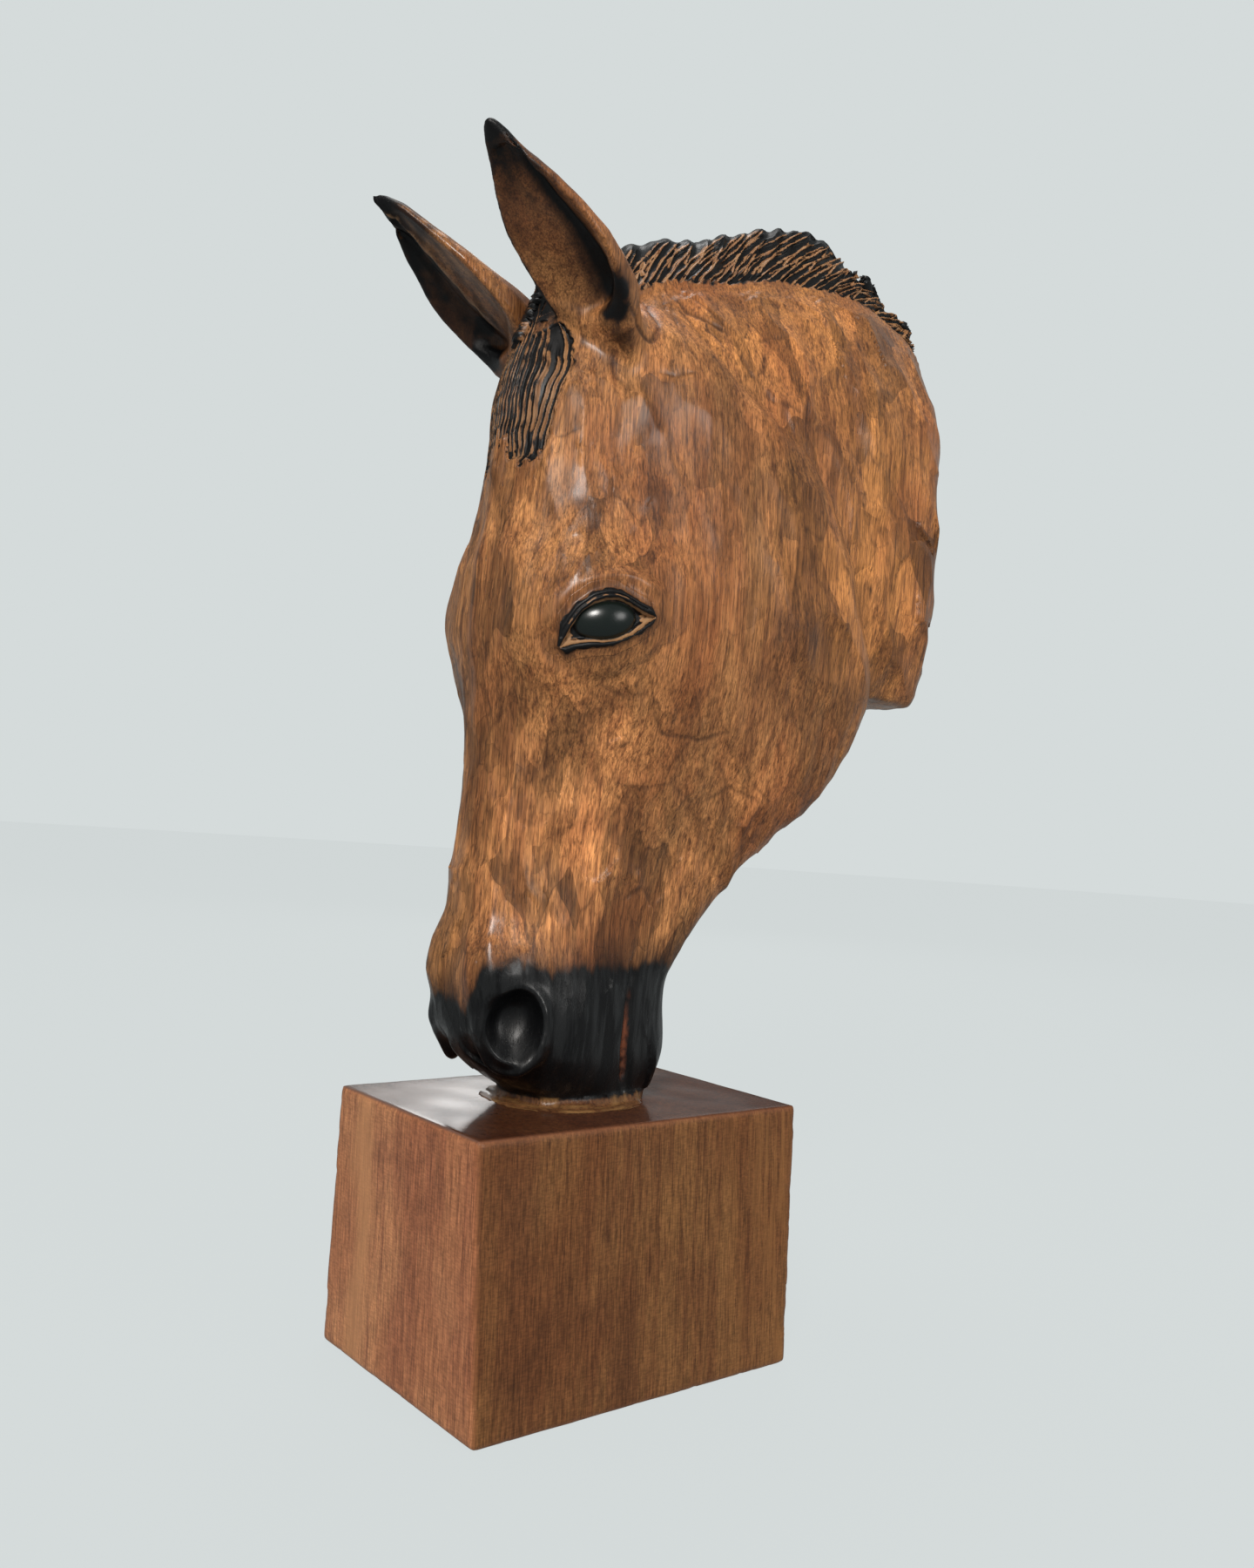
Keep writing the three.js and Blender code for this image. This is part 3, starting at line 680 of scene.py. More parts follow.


# Ears
# A furrow runs inside each ear's outer rim; what is burnt follows it, the rims and the tip. A thin pale
# line along the far ear's raised rim is a painted highlight
def earMarks(points, normals, where):
    x = points[:, 0]
    keys = ("cut", "black", "dark", "wearAndEdgeHighlight")
    marks = {key: np.zeros(len(points)) for key in keys}
    ragged = waver(points, 8, 51)
    for ear in earValues:
        along, wide, front = inEar(points, ear)
        here = where["ear"] * (x * ear["side"] > 4)
        inner = step(normals @ earAxes(ear)[3], 0.05, 0.4)
        broad = 0.14 + 0.2 * (1 - step(along, -0.05, 0.5))
        middle = -0.44 - 0.3 * step(along, 0.7, 0.95)
        away = np.abs(wide - middle) / broad
        furrow = np.clip(1.35 - away, 0, 1) * (1 - step(along, 0.94, 1.0)) * inner
        tip = step(along + 0.02 * ragged, 0.80, 0.97)
        edge = inner * step(wide + 0.02 * ragged, 0.84, 0.96) * 0.9
        grey = inner * step(along - 0.05 * wide + 0.02 * ragged, 0.46, 0.86)
        brown = inner * (0.45 * step(along, 0.1, 0.7)) * (1 + 0.3 * ragged)
        brown = np.maximum(brown, inner * 0.8 * np.clip(2.3 - away, 0, 1))
        outside = (1 - inner) * (0.12 + 0.6 * step(along, 0.4, 0.85)) * (1 + 0.5 * ragged)
        black = np.maximum.reduce([furrow, tip, edge, 0.68 * grey])
        ridge = 0
        if ear["side"] < 0:
            rim = 0.12 + 0.05 * ragged
            left = 1 - step(wide, rim - 0.06, rim + 0.06)
            ridge = inner * 1.3 * np.exp(-((wide - rim) / 0.16) ** 2) * step(along, 0.0, 0.2)
            # Painted highlight: a thin pale line along the far ear's raised rim
            rimHighlight = inner * np.exp(-((wide - rim) / 0.05) ** 2)
            rimHighlight *= step(along, 0.05, 0.3) * (1 - step(along, 0.9, 0.97))
            marks["wearAndEdgeHighlight"] = np.maximum(marks["wearAndEdgeHighlight"], here * rimHighlight * (0.55 + 0.4 * ragged))
            mottle = np.clip(0.25 + 0.45 * waver(points, 10, 52) + 0.9 * step(along, 0.6, 0.8), 0, 1)
            black = np.maximum(tip, inner * left * (0.25 + 0.5 * step(along, 0.3, 0.7) + 0.2 * ragged))
            brown = inner * np.where(left > 0.5, 0.9, mottle)
        marks["cut"] = np.maximum(marks["cut"], here * furrow * 1.5) - here * ridge
        marks["black"] = np.maximum(marks["black"], here * black)
        marks["dark"] = np.maximum(marks["dark"], here * np.maximum(brown, outside))
    return marks


# Smoky burns laid with the torch, and two dark spots below the near ear's cup at (712, 385) and (700, 410):
# photograph's pixel, radius in millimetres and strength
burnValues = [((703, 352), 9, 1.0), ((705, 332), 9, 1.0), ((699, 308), 8, 1.0), ((712, 385), 6, 0.7),
              ((700, 410), 6, 0.4), ((655, 350), 6, 0.45), ((655, 420), 5, 0.35), ((745, 380), 8, 0.3),
              ((650, 747), 5, 0.7), ((742, 722), 5, 0.4), ((700, 752), 8, 0.3), ((590, 1108), 6, 0.8),
              ((560, 1135), 6, 0.4), ((760, 1115), 6, 0.5), ((690, 735), 22, 0.16)]


# Paler and deeper varnish, with painted highlight on the nose side and painted shade on the face front,
# laid the same way
varnishAndLightSpots = [((640, 950), 22, 0.85), ((612, 1070), 12, 0.5), ((585, 690), 15, -0.2),
              ((552, 940), 10, -0.2), ((720, 860), 16, 0.5), ((650, 800), 9, 0.25), ((715, 470), 12, 0.3),
              ((655, 565), 18, -0.3), ((880, 880), 22, 0.3), ((800, 1020), 15, 0.5),
              ((690, 1000), 12, 0.2), ((850, 720), 22, 0.15), ((690, 800), 10, -0.25),
              ((730, 960), 12, -0.2), ((830, 470), 12, -0.2), ((900, 540), 14, -0.15),
              ((1000, 640), 12, 0.2), ((760, 1080), 9, 0.15), ((600, 800), 12, -0.15)]


def spotField(points, rows):
    both = folded(points)
    ragged = 1 + 0.18 * waver(points, 7, 81)
    fields = []
    for pixel, radius, strength in rows:
        reach = np.linalg.norm(both - seen(*pixel), axis=1) * ragged / radius
        fields.append(strength * (1 - step(reach, 0.35, 1.25)))
    return np.array(fields)


# The nostril: a deep hollow with a crisp rim above it and behind it
def nostrilCut(points):
    a, u, out = inNostril(folded(points))
    ring = np.hypot(a, u)
    on = step(out, -14, -9)
    hollow = 1 - step(np.hypot(a + 0.02, u - 0.05), 0.3, 0.92)
    hollow *= 0.2 + 0.8 * step(u - 0.35 * a, -0.75, 0.5)
    rim = np.exp(-((ring - 0.98) / 0.09) ** 2) * step(u + 0.7 * a, -0.05, 0.45)
    crease = np.exp(-((ring - 1.24) / 0.12) ** 2) * step(a, 0.0, 0.5) * step(u, -0.6, 0.2)
    return on * (3.4 * hollow - 1.0 * rim + 0.5 * crease)


# How far each point of a piece moves out along its normal, and what the paint needs to know of the cuts
def carve(points, normals, part):
    v = gougeValues
    where = regionsOf(points)
    x, y, h = points.T
    both = folded(points)
    bothWays = normals * np.column_stack([np.where(x < 0, -1, 1), np.ones(len(x)), np.ones(len(x))])
    plain = (1 - where["ledge"]) * (1 - where["hairNear"]) * (1 - 0.97 * where["eyeArea"])
    plain *= (1 - 0.85 * where["nostrilArea"]) * (1 - 0.6 * where["ear"])
    nape = np.maximum(step(y, 30, 60) * step(h, 150, 190), step(h, 270, 300) * step(y, -5, 20))
    cheek = step(y, -15, 10) * (1 - nape) * step(h, 90, 130)
    mane, lock = maneRidges(points, where), forelockRidges(points, where)
    ears = earMarks(points, normals, where)
    mouth = strokeField(both, bothWays, [(mouthLine, 2.3, 1.0, 1.0)])[0]
    tone, cutDarkening = np.zeros(len(x)), np.zeros(len(x))
    if part == "head":
        faceCut, faceTone = gougeField(points, v["face"], (plain > 0) & (nape < 1))
        neckCut, neckTone = gougeField(points, v["neck"], (plain > 0) & (nape > 0))
        fineCut = gougeField(points, v["fine"], (plain > 0) & (nape < 1))[0]
        flat, flatTone = flatField(points)
        faceCut = faceCut * (0.8 + 0.3 * waver(points, 90, 4)) * (1 - 0.5 * cheek)
        cut = (1 - nape) * faceCut + nape * neckCut
        low = step(h, 60, 90) * (1 - step(h, 150, 200)) * step(y, -20, 5)
        cut += (0.3 + 0.7 * low) * (1 - 0.7 * nape) * fineCut
        cut = np.where(flat > 0, np.minimum(0.25 * cut, cut - flat), cut)
        lines, cutDarkening = strokeField(both, bothWays, surfaceStrokes())
        lines *= (1 - where["mane"]) * (1 - where["eyeArea"] * 0.5)
        hide = np.maximum.reduce([where["maneHide"], where["lockHide"], where["eyeHide"]])
        move = plain * cut - ears["cut"] - lines - 1.1 * mouth - nostrilCut(points) - 2.6 * hide
        tone = np.where(flat > 0.02, flatTone, np.where(nape > 0.5, neckTone, faceTone) * 0.8) * plain
    else:
        move = 0.06 - 2.8 * (1 - where[part + "Show"])
    hair = hairValues
    if part == "mane":
        move += where["mane"] * (hair["maneRidge"] * mane - hair["maneCut"])
    if part == "lock":
        move += where["forelock"] * (hair["lockRidge"] * lock - hair["lockCut"])
    return {"move": move, "where": where, "tone": tone, "mane": mane, "lock": lock, "ears": ears,
            "cutDarkening": cutDarkening * (1 - where["mane"]), "mouth": mouth, "nape": nape,
            "plain": plain * (1 - 0.5 * cheek)}


# The head and the finer pieces set over it: the middle, size and turn of the box that holds each, its
# mesh and faces
headValues = {"part": "head", "middle": (0, 40, 248.8), "size": (500, 500, 500), "voxel": 0.00082,
              "faces": 192000}
maneValues = {"part": "mane", "middle": (0, 68, 343), "size": (54, 240, 72), "tip": 8.5, "voxel": 0.00055,
              "faces": 190000}
lockValues = {"part": "lock", "middle": (0, -45, 271), "size": (60, 42, 104), "voxel": 0.00046,
              "faces": 150000}
lidValues = {"part": "eye", "size": (58, 40, 24), "sunk": 4, "voxel": 0.00045, "faces": 90000}
skinFits = {}


def keptBox(v, side):
    bpy.ops.mesh.primitive_cube_add(size=1, location=(0, 0, 0))
    keep = bpy.context.object
    if v["part"] == "eye":
        flip = np.array([side, 1, 1])
        along, up, out = (axis * flip for axis in eyeAxes())
        middle = np.array(eyeValues["centre"]) * flip - out * v["sunk"]
        turn = Matrix([list(along * side), list(up), list(out)]).transposed()
    else:
        middle = np.array(v["middle"], float)
        turn = Matrix.Rotation(math.radians(v.get("tip", 0)), 3, "X")
    place = Matrix.Translation((middle + np.array([0, 0, blockTop])) / 1000)
    keep.matrix_world = place @ turn.to_4x4() @ Matrix.Diagonal([k / 1000 for k in v["size"]] + [1])
    bpy.context.view_layer.update()
    return keep


def carvedPiece(name, v, side=1):
    piece = copyOfSolid(name)
    keep = keptBox(v, side)
    applyModifier(piece, "BOOLEAN", operation="INTERSECT", object=keep, solver="EXACT")
    bpy.data.objects.remove(keep)
    if v["part"] == "head":
        trimToFoot(piece)
    applyModifier(piece, "REMESH", mode="VOXEL", voxel_size=v["voxel"])
    points, normals, edges = readMesh(piece)
    print("stage: fine mesh of", len(points), "points")
    where = regionsOf(points)
    more = (headValues["voxel"] / v["voxel"]) ** 2
    firm = (1 - 0.9 * where["ledge"]) * (1 - 0.45 * where["ear"])
    points = sand(points, edges, 0.5 * firm, round(22 * more))
    points = sand(points, edges, 0.5 * where["earBase"] * (1 - 0.75 * where["ear"]), round(40 * more))
    seamless = step(points[:, 2], 250, 270) * step(points[:, 1], -5, 10)
    seamless *= (1 - where["mane"]) * (1 - where["ear"])
    points = sand(points, edges, 0.5 * seamless, round(60 * more))
    if v["part"] == "head":
        a, u, out = inNostril(folded(points))
        wing = where["nostrilArea"] * (1 - (1 - step(np.hypot(a, u), 0.8, 0.95)) * 0.8)
        points = sand(points, edges, 0.5 * wing, 16)
        x, y, h = points.T
        front = (1 - step(np.abs(x), 14, 20)) * step(-y, 34, 40) * (1 - step(h, 26, 34)) * step(h, 3.6, 6)
        points = sand(points, edges, 0.5 * front, 70)
    points = cutEyes(reshape(points, where), skinFits)
    points = sand(points, edges, np.full(len(points), 0.35), 2)
    writeMesh(piece, points)
    points, normals, edges = readMesh(piece)
    cuts = carve(points, normals, v["part"])
    writeMesh(piece, points + normals * cuts["move"][:, None])
    kept = None if v["part"] == "head" else cuts["where"][v["part"] + "Show"] > 0.5
    thinTo(piece, v["faces"], kept)
    piece.data.shade_smooth()
    paintPiece(piece, v["part"])
    print("stage:", name, "of", len(piece.data.polygons), "faces")
    return piece


# The boolean leaves the head and its ledge; what is left of the block's skin below the ledge is pulled
# under it
def trimToFoot(piece):
    points, normals, edges = readMesh(piece)
    low = points[:, 2] < 0.05
    reach = np.hypot(points[:, 0] / 31, (points[:, 1] + 5) / 33)
    pull = np.where(low & (reach > 1), 1 / np.maximum(reach, 1e-6), 1)
    points[:, 0] *= pull
    points[:, 1] = (points[:, 1] + 5) * pull - 5
    writeMesh(piece, points)


# What is scorched, stained, left bare or worn, and where highlight and shade are painted, from 0 to 1 at
# each point
def paintPiece(piece, part):
    points, normals, edges = readMesh(piece)
    cuts = carve(points, normals, part)
    where = cuts["where"]
    x, y, h = points.T
    ragged = 1.6 * waver(points * np.array([1, 1, 0.3]), 9, 21)
    ragged += 0.7 * waver(points * np.array([1, 1, 0.2]), 3, 22)
    edge = 55 - 14.5 * (1 - step(np.abs(x), 12, 21)) * (1 - step(y, -54, -42)) - 3 * step(y, 20, 34)
    on = step(h, 2.8, 4.0)
    muzzle = (1 - step(h + ragged, edge - 6, edge + 4)) * on
    halo = (1 - step(h + 1.6 * ragged, edge - 2, edge + 13)) * on
    both = folded(points)
    a, u, out = inEye(both)
    facing = (step(out, -12, -9) * (np.hypot(a / 26, u / 19) < 1.2)).astype(float)
    ballAt, opening, lid = eyeParts(a, u)
    ball = facing * (1 - step(ballAt, 0.93, 1.0)) * (opening > -0.3)
    rim = np.exp(-((opening - 0.15) / (0.42 + 0.1 * waver(points, 3, 24))) ** 2)
    corner = step(opening, 0.2, 0.6) * step(ballAt + 0.06 * waver(points, 2.5, 25), 1.12, 1.3)
    corner *= 1 - 0.75 * step(waver(points, 3, 26), 0.0, 0.5)
    share = np.clip(lid / np.maximum(lid - opening, 1e-3), 0, 1)
    fold = 0.6 * np.exp(-((share - 0.62) / 0.06) ** 2) * (u > 4) * (lid > 0.5)
    fold *= step(waver(points, 5, 27), -0.4, 0.4)
    eyeBare = facing * np.clip(0.9 * rim + corner + fold, 0, 1) * (lid > 0)
    lids = facing * step(lid + 0.25 * ragged, -0.3, 0.5) * (1 - ball)
    smoke = facing * step(lid + 0.6 * ragged, -6, 0.0) * 0.55
    ears, mane, lock = cuts["ears"], cuts["mane"], cuts["lock"]
    hair, fringe = where["mane"], where["forelock"]
    crown = step(h, 286, 308) * fringe
    strand = step(mane + 0.25 * waver(points, 5, 45), 0.45, 0.85)
    wisp = step(lock + 0.12 * waver(points, 6, 46), 0.68, 1.1) * (1 - 0.6 * crown)
    burns = spotField(points, burnValues).max(0)
    crownPatch = step(h, 294, 303) * (1 - step(np.abs(x + 2), 12, 16)) * (1 - step(y, -24, -14))
    crownPatch *= (1 - where["ear"]) * (1 - 0.5 * np.maximum(strand, wisp))
    black = np.maximum.reduce([muzzle, crownPatch, ears["black"], lids * (1 - eyeBare), ball,
                               hair * (1 - strand) * 0.97,
                               fringe * (1 - wisp) * 0.97, step(burns, 0.4, 1.15)])
    dark = np.maximum.reduce([where["ledge"] * 0.65, halo * 0.7, ears["dark"], smoke, crown * 0.6,
                              hair * 0.3, fringe * 0.35, burns])
    pins = np.zeros(len(points))
    for place, wide, tall in knots:
        d = both - np.array(place)
        far = np.sqrt((d[:, 1] / wide) ** 2 + (d[:, 2] / tall) ** 2 + (d[:, 0] / 5) ** 2)
        pins = np.maximum(pins, 1 - step(far, 0.6, 1.4))
    # Darker in the V-cuts and at the knots
    cavity = np.maximum(cuts["cutDarkening"], pins)
    mouth = step(cuts["mouth"] + 0.15 * waver(points, 4, 40), 0.62, 0.95)
    mouth *= (1 - step(h, 36, 46)) * step(h, 3, 9) * (0.45 + 0.55 * np.exp(-((h - 26) / 10) ** 2))
    # Bare wood on the eye rims and hair strands, with the far ear's painted rim highlight
    bare = np.maximum.reduce([eyeBare, hair * strand * (0.6 + 0.3 * waver(points, 9, 41)),
                              fringe * wisp * (0.42 + 0.3 * waver(points, 12, 49)), ears["wearAndEdgeHighlight"]])
    giveMask(piece, "black", black * (1 - np.maximum(bare, 0.55 * mouth)))
    giveMask(piece, "dark", dark * (1 - bare))
    giveMask(piece, "bare", bare)
    giveMask(piece, "red", mouth)
    giveMask(piece, "cavity", cavity)
    giveMask(piece, "facet", cuts["tone"])
    giveMask(piece, "ball", ball)
    giveMask(piece, "nape", cuts["nape"])
    a, u, out = inNostril(both)
    inside = (1 - step(np.hypot(a, u + 0.1), 0.6, 0.9)) * step(u, -0.7, -0.4) * step(out, -14, -9)
    giveMask(piece, "muzzle", muzzle * (1 - where["ledge"]) * (1 - 0.85 * inside))
    reach = np.hypot(x / 30.5, (y + 5) / 32.5) + 0.03 * waver(points, 12, 47)
    gold = np.exp(-((reach - 0.93) / 0.022) ** 2) + 0.8 * np.exp(-((reach - 0.83) / 0.02) ** 2)
    giveMask(piece, "glow", where["ledge"] * np.clip(gold, 0, 1) * step(waver(points, 11, 48), -0.6, 0.3))
    giveMask(piece, "plain", cuts["plain"] * (1 - where["ledge"]))
    # Paler and darker varnish patches, also painting highlight on the nose side and shade on the face front
    giveMask(piece, "varnishAndPaintedLight", spotField(points, varnishAndLightSpots).sum(0))


pieces = [
    carvedPiece("carvedHorseHead", headValues), carvedPiece("maneRidgesCarving", maneValues),
    carvedPiece("forelockCarving", lockValues), carvedPiece("nearEyeCarving", lidValues),
    carvedPiece("farEyeCarving", lidValues, -1),
]

# Block
blockValues = {"top": (98, 150), "foot": (108, 144.5), "voxel": 0.0013, "faces": 60000, "bevel": 0.0011,
               "wear": 0.3}


# How near each point is to a worn edge of the block
def wearOf(points, v):
    x, y, h = points.T
    share = (h + blockTop) / blockTop
    halfX = (v["foot"][0] + (v["top"][0] - v["foot"][0]) * share) / 2
    halfY = (v["foot"][1] + (v["top"][1] - v["foot"][1]) * share) / 2
    gaps = np.column_stack([halfX - np.abs(x), halfY - np.abs(y), np.minimum(-h, h + blockTop)])
    gaps = np.sort(gaps, axis=1)
    return 1 - step(gaps[:, 1], 0.3, 2.4)


def carvedBlock(v):
    bpy.ops.mesh.primitive_cube_add(size=1, location=(0, 0, 0))
    piece = bpy.context.object
    piece.name = "plinthBlock"
    for vertex in piece.data.vertices:
        wide, deep = v["top"] if vertex.co.z > 0 else v["foot"]
        vertex.co = (math.copysign(wide / 2000, vertex.co.x), math.copysign(deep / 2000, vertex.co.y),
                     blockTop / 1000 if vertex.co.z > 0 else 0.0)
    applyModifier(piece, "BEVEL", width=v["bevel"], segments=3)
    applyModifier(piece, "REMESH", mode="VOXEL", voxel_size=v["voxel"])
    points, normals, edges = readMesh(piece)
    points = sand(points, edges, np.full(len(points), 0.4), 3)
    writeMesh(piece, points)
    points, normals, edges = readMesh(piece)
    wearAndEdgeHighlight = wearOf(points, v)
    chip = np.clip(waver(points, 11, 5) * 0.8 + waver(points, 3.5, 6) * 0.5 - 0.35, 0, None)
    points = points - normals * (wearAndEdgeHighlight * chip * v["wear"] + 0.06 * (1 + waver(points, 30, 7)))[:, None]
    writeMesh(piece, points)
    thinTo(piece, v["faces"])
    piece.data.shade_smooth()
    points, normals, edges = readMesh(piece)
    giveMask(piece, "topFace", step(normals[:, 2], 0.4, 0.8))
    giveMask(piece, "sideFace", step(np.abs(normals[:, 0]), 0.4, 0.8))
    giveMask(piece, "wearAndEdgeHighlight", wearOf(points, v) * 0.8)
    giveMask(piece, "gloss", step(-points[:, 1] - 0.6 * points[:, 0], -10, 60))
    return piece


block = carvedBlock(blockValues)
print("stage: block of", len(block.data.polygons), "faces")


# Wood
def group(name, ins, outs):
    tree = bpy.data.node_groups.new(name, "ShaderNodeTree")
    for label, kind, value in ins:
        socket = tree.interface.new_socket(label, in_out="INPUT", socket_type=kind)
        if value is not None:
            socket.default_value = value
    for label, kind in outs:
        tree.interface.new_socket(label, in_out="OUTPUT", socket_type=kind)
    return tree, tree.nodes.new("NodeGroupInput"), tree.nodes.new("NodeGroupOutput")


# A node with its settings; an input value that is a socket is linked, any other is set
def node(tree, kind, settings=None, **inputs):
    made = tree.nodes.new("ShaderNode" + kind)
    for name, value in (settings or {}).items():
        setattr(made, name, value)
    for key, value in inputs.items():
        label = key.replace("_", " ")
        numbered = label[0] == "i" and label[1:].isdigit()
        socket = made.inputs[int(label[1:]) if numbered else label]
        if isinstance(value, bpy.types.NodeSocket):
            tree.links.new(value, socket)
        else:
            socket.default_value = value
    return made


def maths(tree, operation, a, b=0.0):
    return node(tree, "Math", {"operation": operation}, i0=a, i1=b).outputs[0]


def times(tree, a, b):
    return maths(tree, "MULTIPLY", a, b)


def plus(tree, a, b):
    return maths(tree, "ADD", a, b)


def minus(tree, a, b):
    return maths(tree, "SUBTRACT", a, b)


def vectorMaths(tree, operation, *values):
    numbered = {f"i{k}": value for k, value in enumerate(values)}
    made = node(tree, "VectorMath", {"operation": operation}, **numbered)
    return made.outputs["Value" if operation == "DOT_PRODUCT" else "Vector"]


def remap(tree, value, low, high, to=(0, 1)):
    made = node(tree, "MapRange", {"interpolation_type": "SMOOTHSTEP"}, Value=value)
    for key, number in zip(("From Min", "From Max", "To Min", "To Max"), (low, high, *to)):
        made.inputs[key].default_value = number
    return made.outputs[0]


def mixColour(tree, factor, a, b, blend="MIX"):
    made = node(tree, "Mix", {"data_type": "RGBA", "blend_type": blend}, i0=factor)
    for index, value in ((6, a), (7, b)):
        if isinstance(value, bpy.types.NodeSocket):
            tree.links.new(value, made.inputs[index])
        else:
            made.inputs[index].default_value = value
    return made.outputs[2]


def noise(tree, where, stretch, detail=3, rough=0.55, distort=0.0):
    mapped = node(tree, "Mapping", None, Vector=where)
    mapped.inputs["Scale"].default_value = stretch
    return node(tree, "TexNoise", None, Vector=mapped.outputs[0], Scale=1.0, Detail=detail, Roughness=rough,
                Distortion=distort).outputs[0]


# Upright grain: broad figure, streaks, fibres and short dark pores, in three tones
def grainGroup():
    tree, enter, leave = group("uprightGrain", [
        ("Vector", "NodeSocketVector", None), ("Light", "NodeSocketColor", (0.5, 0.25, 0.09, 1)),
        ("Mid", "NodeSocketColor", (0.3, 0.12, 0.04, 1)), ("Warm", "NodeSocketColor", (0.3, 0.09, 0.03, 1)),
        ("Deep", "NodeSocketColor", (0.1, 0.03, 0.01, 1)), ("Ripple", "NodeSocketFloat", 0.0),
        ("Contrast", "NodeSocketFloat", 1.0)],
        [("Color", "NodeSocketColor"), ("Height", "NodeSocketFloat")])
    where = enter.outputs["Vector"]
    broad = noise(tree, where, (46, 46, 3.6), 3, 0.6, 0.8)
    streak = noise(tree, where, (460, 460, 11), 4, 0.62, 0.3)
    fibre = noise(tree, where, (1500, 1500, 75), 3, 0.7)
    pore = noise(tree, where, (1600, 1600, 230), 2, 0.5)
    blotch = noise(tree, where, (26, 26, 17), 4, 0.6, 0.9)
    hue = noise(tree, where, (14, 14, 8), 2, 0.5, 0.5)
    ripple = noise(tree, where, (420, 420, 1500), 2, 0.55, 0.4)
    tone = plus(tree, times(tree, broad, 0.5), times(tree, streak, 0.5))
    tone = plus(tree, tone, times(tree, minus(tree, blotch, 0.5), 0.45))
    first = mixColour(tree, remap(tree, tone, 0.36, 0.64), enter.outputs["Light"], enter.outputs["Mid"])
    first = mixColour(tree, remap(tree, hue, 0.48, 0.62, (0, 0.5)), first, enter.outputs["Warm"])
    contrast = enter.outputs["Contrast"]
    stained = times(tree, remap(tree, streak, 0.52, 0.72, (0, 0.6)), contrast)
    second = mixColour(tree, stained, first, enter.outputs["Deep"])
    second = mixColour(tree, remap(tree, blotch, 0.56, 0.74, (0, 0.35)), second, enter.outputs["Deep"])
    fibres = times(tree, remap(tree, fibre, 0.3, 0.7, (-0.5, 0.5)), contrast)
    shaded = mixColour(tree, 1.0, second, plus(tree, fibres, 1.0), "MULTIPLY")
    wavy = times(tree, remap(tree, ripple, 0.35, 0.65, (-1, 1)), enter.outputs["Ripple"])
    shaded = mixColour(tree, 1.0, shaded, plus(tree, wavy, 1.0), "MULTIPLY")
    pores = times(tree, remap(tree, pore, 0.60, 0.70, (0, 0.6)), contrast)
    shaded = mixColour(tree, pores, shaded, enter.outputs["Deep"])
    tree.links.new(shaded, leave.inputs["Color"])
    height = minus(tree, times(tree, fibre, 0.5), times(tree, pores, 0.6))
    tree.links.new(height, leave.inputs["Height"])
    return tree


# Tool facets: a tone for each, a shallow tilted hollow in each and the line between them
def facetGroup():
    tree, enter, leave = group("toolFacets", [
        ("Vector", "NodeSocketVector", None), ("Scale", "NodeSocketVector", (80, 80, 32))],
        [("Tone", "NodeSocketFloat"), ("Height", "NodeSocketFloat"), ("Line", "NodeSocketFloat")])
    where = vectorMaths(tree, "MULTIPLY", enter.outputs["Vector"], enter.outputs["Scale"])
    sway = node(tree, "TexNoise", None, Vector=where, Scale=0.8, Detail=2.0,
                Roughness=0.45).outputs["Color"]
    swayed = vectorMaths(tree, "MULTIPLY_ADD", sway, (0.9, 0.9, 0.9), where)
    cell = node(tree, "TexVoronoi", {"feature": "F1"}, Vector=swayed, Scale=1.0)
    border = node(tree, "TexVoronoi", {"feature": "DISTANCE_TO_EDGE"}, Vector=swayed, Scale=1.0)
    offset = vectorMaths(tree, "SUBTRACT", swayed, cell.outputs["Position"])
    lean = vectorMaths(tree, "SUBTRACT", cell.outputs["Color"], (0.5, 0.5, 0.5))
    tilt = vectorMaths(tree, "DOT_PRODUCT", offset, lean)
    bowl = maths(tree, "POWER", cell.outputs["Distance"], 2.0)
    height = plus(tree, times(tree, bowl, 0.5), tilt)
    line = remap(tree, border.outputs["Distance"], 0.0, 0.045, (1, 0))
    gate = remap(tree, noise(tree, where, (0.9, 0.9, 0.9), 3, 0.6), 0.48, 0.62)
    tone = node(tree, "SeparateXYZ", None, Vector=cell.outputs["Color"])
    tree.links.new(tone.outputs[0], leave.inputs["Tone"])
    tree.links.new(height, leave.inputs["Height"])
    tree.links.new(times(tree, line, gate), leave.inputs["Line"])
    return tree


grain = grainGroup()
facets = facetGroup()


def placeFacets(tree, where, size):
    made = tree.nodes.new("ShaderNodeGroup")
    made.node_tree = facets
    tree.links.new(where, made.inputs["Vector"])
    made.inputs["Scale"].default_value = size
    return made.outputs["Tone"], made.outputs["Height"], made.outputs["Line"]


# Between two values by a mask
def between(tree, share, a, b):
    return plus(tree, times(tree, b, share),
                 times(tree, a, minus(tree, 1.0, share)))


def placeGrain(tree, where, tones, ripple, contrast):
    made = tree.nodes.new("ShaderNodeGroup")
    made.node_tree = grain
    tree.links.new(where, made.inputs["Vector"])
    for name, tone in zip(("Light", "Mid", "Warm", "Deep"), tones):
        if isinstance(tone, bpy.types.NodeSocket):
            tree.links.new(tone, made.inputs[name])
        else:
            made.inputs[name].default_value = tone
    made.inputs["Ripple"].default_value = ripple
    made.inputs["Contrast"].default_value = contrast
    return made


def mask(tree, name):
    return node(tree, "Attribute", {"attribute_name": name}).outputs["Fac"]


